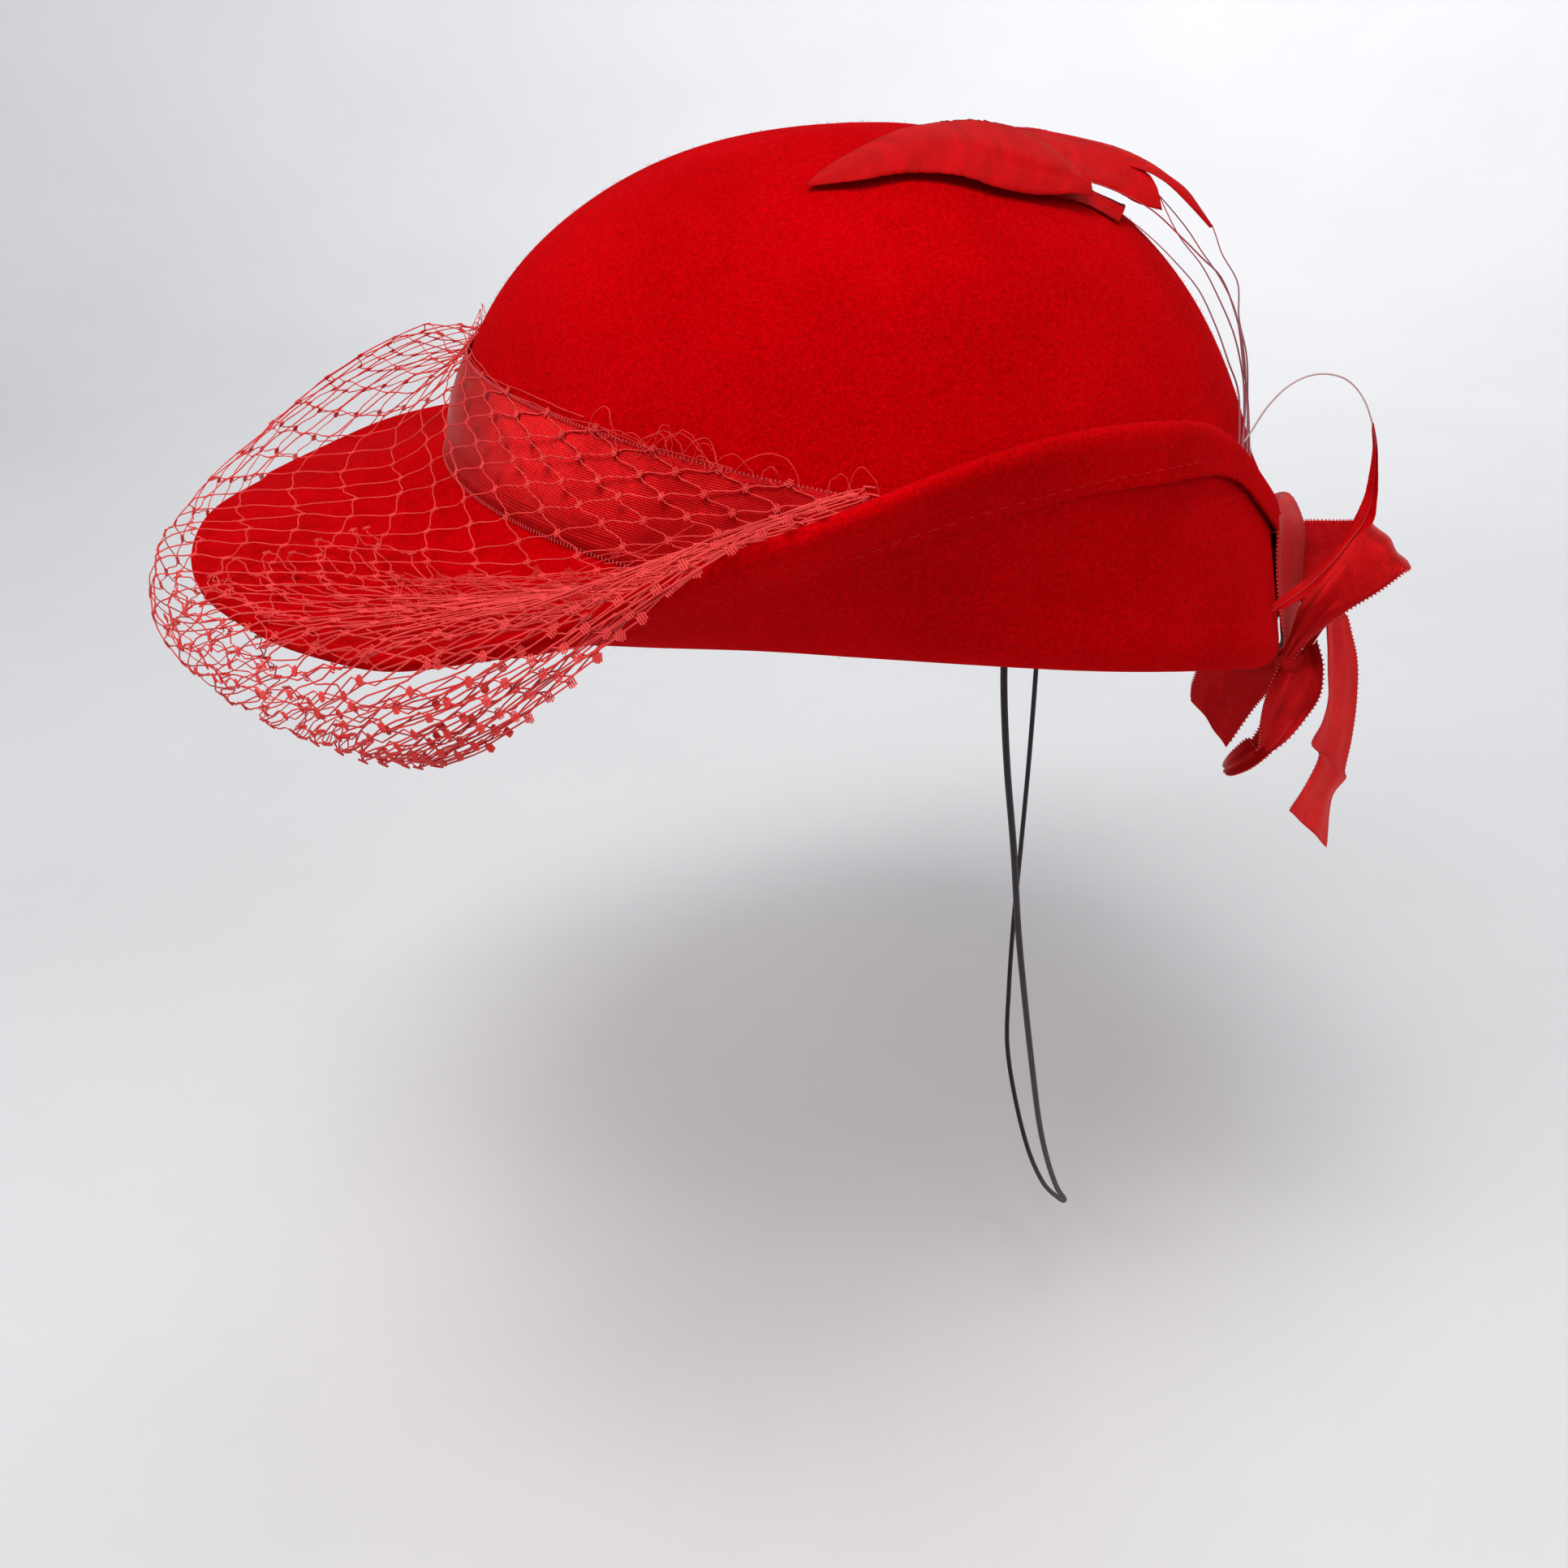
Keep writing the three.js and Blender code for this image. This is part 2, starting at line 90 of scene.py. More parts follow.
def smoothLine(points, steps):
    # rounded line through given points, many short steps
    points = np.array(points, float)
    padded = np.vstack([2 * points[0] - points[1], points, 2 * points[-1] - points[-2]])
    line = []
    for i in range(len(points) - 1):
        a, b, c, d = padded[i:i + 4]
        ab, bc, cd = (max(np.linalg.norm(q - p) ** 0.5, 1e-3) for p, q in ((a, b), (b, c), (c, d)))
        leave = (c - b) + bc * ((b - a) / ab - (c - a) / (ab + bc))
        arrive = (c - b) + bc * ((d - c) / cd - (d - b) / (bc + cd))
        for k in range(steps):
            f = k / steps
            line.append((2 * f**3 - 3 * f**2 + 1) * b + (f**3 - 2 * f**2 + f) * leave
                        + (3 * f**2 - 2 * f**3) * c + (f**3 - f**2) * arrive)
    line.append(points[-1])
    return np.array(line)


def lineLengths(line):
    return np.concatenate([[0], np.cumsum(np.linalg.norm(np.diff(line, axis=0), axis=1))])


def atLength(line, lengths, s):
    return np.array([np.interp(s, lengths, line[:, k]) for k in range(3)])


def evenLine(line, count):
    lengths = lineLengths(line)
    return np.array([atLength(line, lengths, lengths[-1] * k / count) for k in range(count + 1)])


# pieces from bent grids and threads

def gridWork(columns, rows, place, stretch=(1, 1), merge=0.01):
    # a flat grid bent into shape; place(u, v) gives the point, stretch the cloth's size in mm
    work = bmesh.new()
    bmesh.ops.create_grid(work, x_segments=columns, y_segments=rows, size=0.5)
    chart = work.loops.layers.uv.new("cloth")
    for face in work.faces:
        for loop in face.loops:
            u, v = loop.vert.co.x + 0.5, loop.vert.co.y + 0.5
            loop[chart].uv = (u * stretch[0], v * stretch[1])
    for vert in work.verts:
        vert.co = Vector(place(vert.co.x + 0.5, vert.co.y + 0.5)) * mm
    bmesh.ops.remove_doubles(work, verts=work.verts, dist=merge * mm)
    bmesh.ops.recalc_face_normals(work, faces=work.faces)
    return work


def addPiece(name, work, material, stands=()):
    mesh = bpy.data.meshes.new(name)
    work.to_mesh(mesh)
    work.free()
    return finishPiece(name, mesh, material, stands)


def finishPiece(name, mesh, material, stands):
    mesh.polygons.foreach_set("use_smooth", [True] * len(mesh.polygons))
    piece = bpy.data.objects.new(name, mesh)
    bpy.context.scene.collection.objects.link(piece)
    mesh.materials.clear()
    mesh.materials.append(material)
    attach(piece, "root")
    if stands:
        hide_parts(*stands)
    print(name, len(mesh.polygons), "faces")
    return piece


def thicken(piece, wall):
    solid = piece.modifiers.new("wall", "SOLIDIFY")
    solid.thickness = wall * mm
    solid.offset = 0


def addThreads(name, threads, radius, material, stands=(), smoothness=1):
    # each thread is (points, widths); a round cord is drawn along all of them
    curve = bpy.data.curves.new(name + "Line", "CURVE")
    curve.dimensions = "3D"
    curve.bevel_depth = radius * mm
    curve.bevel_resolution = smoothness
    curve.use_fill_caps = material != fuzzFinish
    for points, widths in threads:
        spline = curve.splines.new("POLY")
        spline.points.add(len(points) - 1)
        flat = np.ones((len(points), 4))
        flat[:, :3] = np.array(points) * mm
        spline.points.foreach_set("co", flat.ravel())
        spline.points.foreach_set("radius", list(widths))
    drawn = bpy.data.objects.new(name + "Line", curve)
    bpy.context.scene.collection.objects.link(drawn)
    graph = bpy.context.evaluated_depsgraph_get()
    mesh = bpy.data.meshes.new_from_object(drawn.evaluated_get(graph))
    mesh.name = name
    bpy.data.objects.remove(drawn)
    return finishPiece(name, mesh, material, stands)


def sidesAlong(line, first=None):
    # a direction square to the line at each point, carried along without twist
    tangents = np.gradient(line, axis=0)
    side = np.array(first if first is not None else (0.3, 0.5, 0.8), float)
    sides = []
    for tangent in tangents:
        tangent = unit(tangent)
        side = unit(side - tangent * side.dot(tangent))
        sides.append((side, np.cross(tangent, side)))
    return sides


def tubeWork(line, radii, around, stretch=1):
    # closed round tube; radii follow the line, both ends close to a point
    sides = sidesAlong(line)
    last = len(line) - 1

    def place(u, v):
        i = round(u * (last + 2)) - 1
        shut = i < 0 or i > last
        i = min(max(i, 0), last)
        turn = 2 * math.pi * v
        across, through = sides[i]
        radius = 0 if shut else radii[i]
        return line[i] + (across * math.cos(turn) + through * math.sin(turn)) * radius

    size = (lineLengths(line)[-1] * stretch, 2 * math.pi * max(radii))
    return gridWork(last + 2, around, place, size, 0.001)


# the camera

camera = {
    "place": (0.3798, 0.0697, 0.0992),
    "azimuth": 103.42,
    "down": 25.65,
    "roll": -1.2,
    "lens": 33.354,
    "sensor": 36,
}


def addCamera():
    turn, down, roll = (math.radians(camera[key]) for key in ("azimuth", "down", "roll"))
    level = Vector((math.cos(turn), math.sin(turn), 0))
    ahead = Vector((-math.sin(turn) * math.cos(down), math.cos(turn) * math.cos(down), -math.sin(down)))
    right = level * math.cos(roll) + level.cross(ahead) * math.sin(roll)
    data = bpy.data.cameras.new("camera")
    data.lens = camera["lens"]
    data.sensor_width = camera["sensor"]
    data.clip_start = 0.02
    data.clip_end = 50
    seen = bpy.data.objects.new("camera", data)
    bpy.context.scene.collection.objects.link(seen)
    seen.matrix_world = Matrix.Translation(camera["place"]) @ Matrix(
        (right, right.cross(ahead), -ahead)).transposed().to_4x4()
    bpy.context.scene.camera = seen


# finishes

def newGroup(name, inputs, outputs):
    group = bpy.data.node_groups.new(name, "ShaderNodeTree")
    for label, kind, value in inputs:
        socket = group.interface.new_socket(name=label, in_out="INPUT", socket_type=kind)
        if value is not None:
            socket.default_value = value
    for label, kind in outputs:
        group.interface.new_socket(name=label, in_out="OUTPUT", socket_type=kind)
    return group, group.nodes.new("NodeGroupInput"), group.nodes.new("NodeGroupOutput")


def addNode(tree, kind, links=None, **settings):
    node = tree.nodes.new(kind)
    for key, value in settings.items():
        setattr(node, key, value)
    for socket, source in (links or {}).items():
        if isinstance(source, bpy.types.NodeSocket):
            tree.links.new(source, node.inputs[socket])
        else:
            node.inputs[socket].default_value = source
    return node


def mathNode(tree, operation, a, b=0.0):
    return addNode(tree, "ShaderNodeMath", {0: a, 1: b}, operation=operation).outputs[0]


def patchGroup():
    # colour that drifts between a darker and a lighter tone in soft patches
    group, given, result = newGroup("patchyColour", [
        ("Place", "NodeSocketVector", None), ("Deep", "NodeSocketColor", None),
        ("Pale", "NodeSocketColor", None), ("Scale", "NodeSocketFloat", 0.1),
        ("Fine Scale", "NodeSocketFloat", 1.0), ("Fine Share", "NodeSocketFloat", 0.4),
    ], [("Colour", "NodeSocketColor"), ("Tone", "NodeSocketFloat")])
    broad = addNode(group, "ShaderNodeTexNoise", {
        "Vector": given.outputs["Place"], "Scale": given.outputs["Scale"], "Detail": 3.0})
    fine = addNode(group, "ShaderNodeTexNoise", {
        "Vector": given.outputs["Place"], "Scale": given.outputs["Fine Scale"],
        "Detail": 4.0, "Roughness": 0.7})
    both = addNode(group, "ShaderNodeMix", {
        0: given.outputs["Fine Share"], 2: broad.outputs[0], 3: fine.outputs[0]}, data_type="FLOAT")
    tone = addNode(group, "ShaderNodeMapRange", {0: both.outputs[0], 1: 0.32, 2: 0.68})
    mixed = addNode(group, "ShaderNodeMix", {
        0: tone.outputs[0], 6: given.outputs["Deep"], 7: given.outputs["Pale"]}, data_type="RGBA")
    group.links.new(mixed.outputs[2], result.inputs["Colour"])
    group.links.new(tone.outputs[0], result.inputs["Tone"])
    return group


def fibreGroup():
    # height of matted or twisted fibres
    group, given, result = newGroup("fibreHeight", [
        ("Place", "NodeSocketVector", None), ("Coarse", "NodeSocketFloat", 0.8),
        ("Fine", "NodeSocketFloat", 3.0)], [("Height", "NodeSocketFloat")])
    coarse = addNode(group, "ShaderNodeTexNoise", {
        "Vector": given.outputs["Place"], "Scale": given.outputs["Coarse"], "Detail": 3.0})
    fine = addNode(group, "ShaderNodeTexNoise", {
        "Vector": given.outputs["Place"], "Scale": given.outputs["Fine"], "Detail": 2.0, "Distortion": 1.2})
    total = mathNode(group, "ADD", mathNode(group, "MULTIPLY", coarse.outputs[0], 0.6), fine.outputs[0])
    group.links.new(total, result.inputs["Height"])
    return group


def weaveGroup():
    # slanted satin ribs crossed by fine weft, from the cloth's own place in mm
    group, given, result = newGroup("satinWeave", [
        ("Cloth", "NodeSocketVector", None), ("Pitch", "NodeSocketFloat", 0.5),
        ("Slant", "NodeSocketFloat", 0.8)],
        [("Height", "NodeSocketFloat"), ("Tone", "NodeSocketFloat")])
    split = addNode(group, "ShaderNodeSeparateXYZ", {0: given.outputs["Cloth"]})
    full = 2 * math.pi
    slanted = mathNode(group, "ADD", split.outputs[0],
                       mathNode(group, "MULTIPLY", split.outputs[1], given.outputs["Slant"]))
    rib = mathNode(group, "SINE", mathNode(
        group, "MULTIPLY", mathNode(group, "DIVIDE", slanted, given.outputs["Pitch"]), full))
    weft = mathNode(group, "SINE", mathNode(
        group, "MULTIPLY", mathNode(group, "DIVIDE", split.outputs[1], given.outputs["Pitch"]), full * 0.9))
    height = mathNode(group, "ADD", rib, mathNode(group, "MULTIPLY", weft, 0.5))
    speckle = addNode(group, "ShaderNodeTexNoise", {
        "Vector": given.outputs["Cloth"], "Scale": 0.35, "Detail": 2.0})
    faint = mathNode(group, "MULTIPLY_ADD", speckle.outputs[0], 0.3)
    faint.node.inputs[2].default_value = 0.33
    tone = mathNode(group, "ADD", mathNode(group, "MULTIPLY", height, 0.15), faint)
    group.links.new(height, result.inputs["Height"])
    group.links.new(tone, result.inputs["Tone"])
    return group


patchy, fibres, weave = patchGroup(), fibreGroup(), weaveGroup()


def newMaterial(name, shine):
    material = bpy.data.materials.new(name)
    material.use_nodes = True
    tree = material.node_tree
    shader = tree.nodes["Principled BSDF"]
    for socket, value in shine.items():
        shader.inputs[socket].default_value = value
    where = addNode(tree, "ShaderNodeTexCoord")
    place = addNode(tree, "ShaderNodeVectorMath", {0: where.outputs["Object"], "Scale": 1000.0},
                    operation="SCALE")
    return material, tree, shader, place.outputs[0]


def addGroup(tree, group, links):
    node = tree.nodes.new("ShaderNodeGroup")
    node.node_tree = group
    for socket, source in links.items():
        if isinstance(source, bpy.types.NodeSocket):
            tree.links.new(source, node.inputs[socket])
        else:
            node.inputs[socket].default_value = source
    return node


def addBump(tree, shader, height, depth, strength=1.0):
    bump = addNode(tree, "ShaderNodeBump", {"Height": height, "Distance": depth * mm, "Strength": strength})
    tree.links.new(bump.outputs[0], shader.inputs["Normal"])


feltLook = {
    "paintedShadeRow": 129.4,  # row of the felt's section in the fold under the hem, where painted shade darkens the felt's colour
    "deep": (0.40, 0.0, 0.0, 1),
    "pale": (0.76, 0.0, 0.003, 1),
    "shine": {"Roughness": 1.0, "Specular IOR Level": 0.01, "Sheen Weight": 0.05,
              "Sheen Roughness": 0.3, "Sheen Tint": (1, 0.08, 0.1, 1)},
}


def feltMaterial():
    material, tree, shader, place = newMaterial("woolFelt", feltLook["shine"])
    colour = addGroup(tree, patchy, {"Place": place, "Deep": feltLook["deep"], "Pale": feltLook["pale"],
                                     "Scale": 0.035, "Fine Scale": 1.1, "Fine Share": 0.72})
    cloth = addNode(tree, "ShaderNodeUVMap", uv_map="cloth").outputs[0]
    row = addNode(tree, "ShaderNodeSeparateXYZ", {0: cloth}).outputs[1]
    # painted shade: near the fold under the hem the felt's colour is mixed towards near black
    apart = mathNode(tree, "ABSOLUTE", mathNode(tree, "SUBTRACT", row, feltLook["paintedShadeRow"]))
    shade = addNode(tree, "ShaderNodeMapRange", {0: apart, 1: 2.0, 2: 3.8, 3: 0.1, 4: 1.0})
    shaded = addNode(tree, "ShaderNodeMix", {
        0: shade.outputs[0], 6: (0.03, 0, 0, 1), 7: colour.outputs["Colour"]}, data_type="RGBA")
    tree.links.new(shaded.outputs[2], shader.inputs["Base Color"])
    height = addGroup(tree, fibres, {"Place": place, "Coarse": 0.7, "Fine": 2.6})
    addBump(tree, shader, height.outputs["Height"], 0.5, 1.0)
    return material


ribbonLook = {
    "deep": (0.34, 0.0, 0.002, 1),
    "pale": (0.85, 0.012, 0.014, 1),
    "pitch": 0.5,
    "slant": 0.8,
    "shine": {"Roughness": 0.36, "Specular IOR Level": 0.12, "Metallic": 0.55, "Sheen Weight": 0.05,
              "Sheen Roughness": 0.3, "Sheen Tint": (1, 0.4, 0.4, 1), "Anisotropic": 0.7,
              "Anisotropic Rotation": 0.25, "Specular Tint": (1, 0.55, 0.5, 1)},
}


def ribbonMaterial(name, roughness, sheen, deep=ribbonLook["deep"], pale=ribbonLook["pale"]):
    shine = dict(ribbonLook["shine"])
    shine["Roughness"] = roughness
    shine["Sheen Weight"] = sheen
    material, tree, shader, _ = newMaterial(name, shine)
    cloth = addNode(tree, "ShaderNodeUVMap", uv_map="cloth").outputs[0]
    woven = addGroup(tree, weave, {"Cloth": cloth, "Pitch": ribbonLook["pitch"],
                                   "Slant": ribbonLook["slant"]})
    tone = addNode(tree, "ShaderNodeMapRange", {0: woven.outputs["Tone"], 1: 0.25, 2: 0.75})
    colour = addNode(tree, "ShaderNodeMix", {
        0: tone.outputs[0], 6: deep, 7: pale}, data_type="RGBA")
    tree.links.new(colour.outputs[2], shader.inputs["Base Color"])
    addBump(tree, shader, woven.outputs["Height"], 0.06, 0.9)
    tangent = addNode(tree, "ShaderNodeTangent", direction_type="UV_MAP", uv_map="cloth")
    tree.links.new(tangent.outputs[0], shader.inputs["Tangent"])
    return material


def threadMaterial(name, deep, pale, shine):
    material, tree, shader, place = newMaterial(name, shine)
    colour = addGroup(tree, patchy, {"Place": place, "Deep": deep, "Pale": pale,
                                     "Scale": 0.08, "Fine Scale": 1.4, "Fine Share": 0.5})
    tree.links.new(colour.outputs["Colour"], shader.inputs["Base Color"])
    height = addGroup(tree, fibres, {"Place": place, "Coarse": 2.0, "Fine": 6.0})
    addBump(tree, shader, height.outputs["Height"], 0.08)
    return material


def bladeMaterial():
    # barbs run along the rows of the blade, so the streaks follow the cloth map
    material, tree, shader, _ = newMaterial("dyedFeather", {
        "Roughness": 0.6, "Specular IOR Level": 0.06, "Sheen Weight": 0.02, "Sheen Roughness": 0.35,
        "Sheen Tint": (1, 0.2, 0.2, 1)})
    cloth = addNode(tree, "ShaderNodeUVMap", uv_map="cloth").outputs[0]
    stretched = addNode(tree, "ShaderNodeVectorMath", {0: cloth, 1: (1.6, 0.4, 1)}, operation="MULTIPLY")
    colour = addGroup(tree, patchy, {"Place": stretched.outputs[0], "Deep": (0.33, 0.0, 0.0, 1),
                                     "Pale": (0.58, 0.0, 0.002, 1), "Scale": 0.16,
                                     "Fine Scale": 1.3, "Fine Share": 0.4})
    tree.links.new(colour.outputs["Colour"], shader.inputs["Base Color"])
    height = addGroup(tree, fibres, {"Place": stretched.outputs[0], "Coarse": 1.0, "Fine": 2.4})
    addBump(tree, shader, height.outputs["Height"], 0.12, 0.7)
    return material


def quillMaterial(name, bare):
    # brownish pink bare quill that turns red where the blade starts
    material, tree, shader, place = newMaterial(name, {"Roughness": 0.38})
    cloth = addNode(tree, "ShaderNodeUVMap", uv_map="cloth").outputs[0]
    split = addNode(tree, "ShaderNodeSeparateXYZ", {0: cloth})
    share = addNode(tree, "ShaderNodeMapRange", {0: split.outputs[0], 1: 72.0, 2: 92.0})
    colour = addNode(tree, "ShaderNodeMix", {
        0: share.outputs[0], 6: bare, 7: (0.45, 0.0, 0.01, 1)}, data_type="RGBA")
    tree.links.new(colour.outputs[2], shader.inputs["Base Color"])
    height = addGroup(tree, fibres, {"Place": place, "Coarse": 1.0, "Fine": 4.0})
    addBump(tree, shader, height.outputs["Height"], 0.05)
    return material


def elasticMaterial():
    # braid of fine covering threads, two slants crossing
    material, tree, shader, place = newMaterial("braidedElastic", {
        "Roughness": 0.75, "Sheen Weight": 0.3, "Sheen Tint": (0.5, 0.45, 0.5, 1)})
    cloth = addNode(tree, "ShaderNodeUVMap", uv_map="cloth").outputs[0]
    left = addGroup(tree, weave, {"Cloth": cloth, "Pitch": 0.9, "Slant": 0.6})
    right = addGroup(tree, weave, {"Cloth": cloth, "Pitch": 0.9, "Slant": -0.6})
    height = mathNode(tree, "MAXIMUM", left.outputs["Height"], right.outputs["Height"])
    colour = addGroup(tree, patchy, {"Place": place, "Deep": (0.006, 0.004, 0.006, 1),
                                     "Pale": (0.02, 0.014, 0.02, 1), "Scale": 0.1,
                                     "Fine Scale": 2.0, "Fine Share": 0.6})
    tree.links.new(colour.outputs["Colour"], shader.inputs["Base Color"])
    addBump(tree, shader, height, 0.1)
    return material


feltFinish = feltMaterial()
satinFinish = ribbonMaterial("satinRibbon", 0.27, 0.03)
# painted light: a paler copy of the satin finish, making the left tail look lit from behind
paintedLightRibbonFinish = ribbonMaterial("paintedLightRibbon", 0.34, 0.03, (0.62, 0.0, 0.004, 1), (0.95, 0.03, 0.03, 1))
mattFinish = ribbonMaterial("ribbonBack", 0.45, 0.25)
netFinish = threadMaterial("netThread", (0.62, 0.02, 0.022, 1), (0.9, 0.065, 0.055, 1), {
    "Roughness": 0.6, "Sheen Weight": 0.04, "Sheen Tint": (1, 0.4, 0.4, 1), "Specular IOR Level": 0.3})
edgeFinish = threadMaterial("selvedgeThread", (0.55, 0.01, 0.02, 1), (0.72, 0.05, 0.05, 1), {
    "Roughness": 0.45, "Sheen Weight": 0.3, "Sheen Tint": (1, 0.5, 0.5, 1)})
stitchFinish = threadMaterial("stitchThread", (0.50, 0.0, 0.004, 1), (0.66, 0.02, 0.02, 1), {
    "Roughness": 1.0, "Specular IOR Level": 0.02})
fuzzFinish = threadMaterial("woolHair", (0.55, 0.0, 0.004, 1), (0.85, 0.03, 0.035, 1), {
    "Roughness": 0.9, "Specular IOR Level": 0.05})
bladeFinish = bladeMaterial()
quillFinish = quillMaterial("strippedQuill", (0.26, 0.07, 0.085, 1))
paleQuillFinish = quillMaterial("paleQuill", (0.50, 0.32, 0.31, 1))
elasticFinish = elasticMaterial()
addCamera()
print("camera and finishes made")


# the chin elastic, a whole loop behind the neck

elastic = {
    "diameter": 1.6,
    "length": 0.551,
    "route": [
        (74.8, 47, -1), (74.8, 47.5, -12), (74.8, 48, -24), (74.6, 49.5, -42), (73.5, 52, -64),
        (70, 54, -88), (64, 56.5, -113), (56, 59, -138), (46, 62, -166), (35, 65, -188),
        (23, 68, -207), (8, 70.5, -224), (-8, 69, -238), (-24, 63, -246), (-38, 57, -245),
        (-50, 51, -234), (-60, 46, -216), (-67, 45, -196), (-71.5, 45, -172), (-73.6, 46, -140),
        (-74.6, 47, -105), (-74.8, 47.5, -70), (-74.8, 47.5, -38), (-74.8, 47.5, -14), (-74.8, 47, -1),
    ],
}


def addElastic():
    line = evenLine(smoothLine(elastic["route"], 12), 300)
    radii = [elastic["diameter"] / 2] * len(line)
    piece = addPiece("chinElastic", tubeWork(line, radii, 12), elasticFinish, ["chin_elastic"])


addElastic()

# the felt body

crown = {"length": 212, "width": 176, "rise": 91, "drift": 1.4, "side": 2.26, "top": 1.79, "seamTip": 17.6}
brimColumns = ("bearing", "drop", "left", "right", "start", "bend", "width", "flare")
brimRows = [
    (0, -16, -15, -14, 5, 29, 73, 2.6),
    (30, -37, -7, 3, 5, 29, 69, 2.6),
    (55, -43, 3, 9, 5, 29, 67, 2.6),
    (75, -29, 17, 17, 5, 29, 70, 2.6),
    (95, -13, 43, 43, 5, 29, 73, 2.2),
    (120, -12, 79, 79, 5, 27, 70, 1.6),
    (145, -32, 103.5, 104.5, 7, 16, 62.5, 1),
    (165, -80, 102, 102, 8.4, 10.6, 50.3, 0.8),
    (180, -89, 95.5, 95.5, 11, 7.4, 45.6, 0.8),
]
felt = {"wall": 2, "hem": 11, "bearings": 288, "crownSteps": 58, "brimSteps": 52, "edgeSteps": 9}
up = np.array([0, 0, 1.0])
brimLines, crownLines, netLines = {}, {}, {}


def sideOf(bearing):
    return abs((bearing + 180) % 360 - 180)


def brimValue(name, bearing):
    value = rowValue(brimRows, brimColumns.index(name), sideOf(bearing))
    if name == "width":  # the far side dips a little lower towards the back
        value -= 8 * math.exp(-(((bearing % 360) - 206) / 19) ** 2)
    return value


def crownPoint(bearing, climb):
    angle = climb * math.pi / 2
    spread = max(math.cos(angle), 0) ** (2 / crown["side"])
    rise = math.sin(angle) ** (2 / crown["top"])
    turn = math.radians(bearing)
    return np.array([
        crown["width"] / 2 * spread * math.sin(turn),
        -crown["length"] / 2 * spread * math.cos(turn) + crown["drift"] * rise,
        crown["seamTip"] * math.cos(turn) * (1 - rise) + crown["rise"] * rise,
    ])


def crownNormal(bearing, climb):
    if climb > 0.995:
        return up
    across = crownPoint(bearing + 1, climb) - crownPoint(bearing - 1, climb)
    along = crownPoint(bearing, climb + 0.002) - crownPoint(bearing, max(climb - 0.002, 0))
    return unit(np.cross(across, along))


def offCrown(bearing, climb, distance):
    return crownPoint(bearing, climb) + crownNormal(bearing, climb) * distance


def climbAt(bearing, length):
    key = round(bearing % 360, 2)
    if key not in crownLines:
        climbs = np.linspace(0, 1, 200)
        line = np.array([crownPoint(key, climb) for climb in climbs])
        crownLines[key] = (lineLengths(line), climbs)
    return float(np.interp(length, *crownLines[key]))


def outward(bearing):
    turn = math.radians(bearing)
    return unit(np.array([math.sin(turn) / crown["width"], -math.cos(turn) / crown["length"], 0]))


def brimLine(bearing):
    key = round(bearing % 360, 3)
    if key not in brimLines:
        drop = math.radians(brimValue("drop", key))
        slope = math.radians(brimValue("left" if math.sin(math.radians(key)) >= 0 else "right", key))
        start, bend = brimValue("start", key), brimValue("bend", key)
        lengths = np.arange(0, 92, 0.5)

        def angles(s):
            f = np.clip((s - start) / bend, 0, 1)
            return drop + (slope - drop) * f * f * (3 - 2 * f)

        middles = angles(lengths[:-1] + 0.25)
        outs = np.concatenate([[0], np.cumsum(np.cos(middles) * 0.5)])
        ups = np.concatenate([[0], np.cumsum(np.sin(middles) * 0.5)])
        brimLines[key] = (lengths, outs, ups, angles(lengths), crownPoint(key, 0), outward(key))
    return brimLines[key]


def brimPoint(bearing, length, depth):
    lengths, outs, ups, angles, foot, out = brimLine(bearing)
    angle = np.interp(length, lengths, angles)
    away = np.interp(length, lengths, outs) + depth * math.sin(angle)
    rise = np.interp(length, lengths, ups) - depth * math.cos(angle)
    return foot + out * away + up * rise


def crownDent(bearing, climb):
    # slight hand-worn unevenness, fading to nothing at the ribbon
    turn = math.radians(bearing)
    rise = smooth((climb - 0.28) / 0.3) * (1 - smooth((climb - 0.85) / 0.15))
    return rise * (0.35 * math.sin(2 * turn + 5 * climb) + 0.22 * math.sin(5 * turn - 7 * climb + 1))


def brimDent(bearing, length):
    turn = math.radians(bearing)
    f = smooth((length - 14) / 40)
    return f * (0.45 * math.sin(5 * turn + 0.4) + 0.3 * math.sin(11 * turn + 2) + 0.15 * math.sin(23 * turn))


creviceRows = ((0, 3.95), (0.45, 3.7), (0.7, 3.2), (0.6, 2.8), (-0.4, 2.6), (-1.2, 2.5), (-1.3, 2.15),
               (-0.8, 2.0))


def hemWide(bearing):
    return felt["hem"] - 4 * smooth((sideOf(bearing) - 105) / 40)


def feltSection(bearing):
    width = brimValue("width", bearing)
    wall, hem = felt["wall"], hemWide(bearing)
    section = []
    for i in range(felt["crownSteps"] + 1):
        climb = 1 - i / felt["crownSteps"]
        section.append(offCrown(bearing, climb, crownDent(bearing, climb)))
    for i in range(1, felt["brimSteps"] + 1):
        length = width * i / felt["brimSteps"]
        section.append(brimPoint(bearing, length, brimDent(bearing, length)))
    edge = brimDent(bearing, width)
    for i in range(1, felt["edgeSteps"] + 1):
        turn = math.pi * i / (felt["edgeSteps"] + 1)
        past, deep = wall * math.sin(turn), wall * (1 - math.cos(turn))
        section.append(brimPoint(bearing, width + past * 1.1, deep + edge))
    ragged = 0.25 * math.sin(math.radians(bearing * 9)) + 0.2 * math.sin(math.radians(bearing * 17 + 40))
    lowest = hem + ragged
    for back, deep in ((0, 2.1), (0.25, 2.1), (0.5, 2.05), (0.75, 2.0), (0.9, 1.95)):
        section.append(brimPoint(bearing, width - back * lowest, deep * wall + edge))
    for back, deep in creviceRows:
        section.append(brimPoint(bearing, width - lowest - back, deep + edge))
    bare = width - lowest - 0.2
    for i in range(felt["brimSteps"] - 6):
        length = bare * (1 - i / (felt["brimSteps"] - 7))
        section.append(brimPoint(bearing, length, wall + brimDent(bearing, length)))
    for i in range(felt["crownSteps"] + 1):
        climb = i / felt["crownSteps"]
        section.append(offCrown(bearing, climb, crownDent(bearing, climb) - wall))
    return section


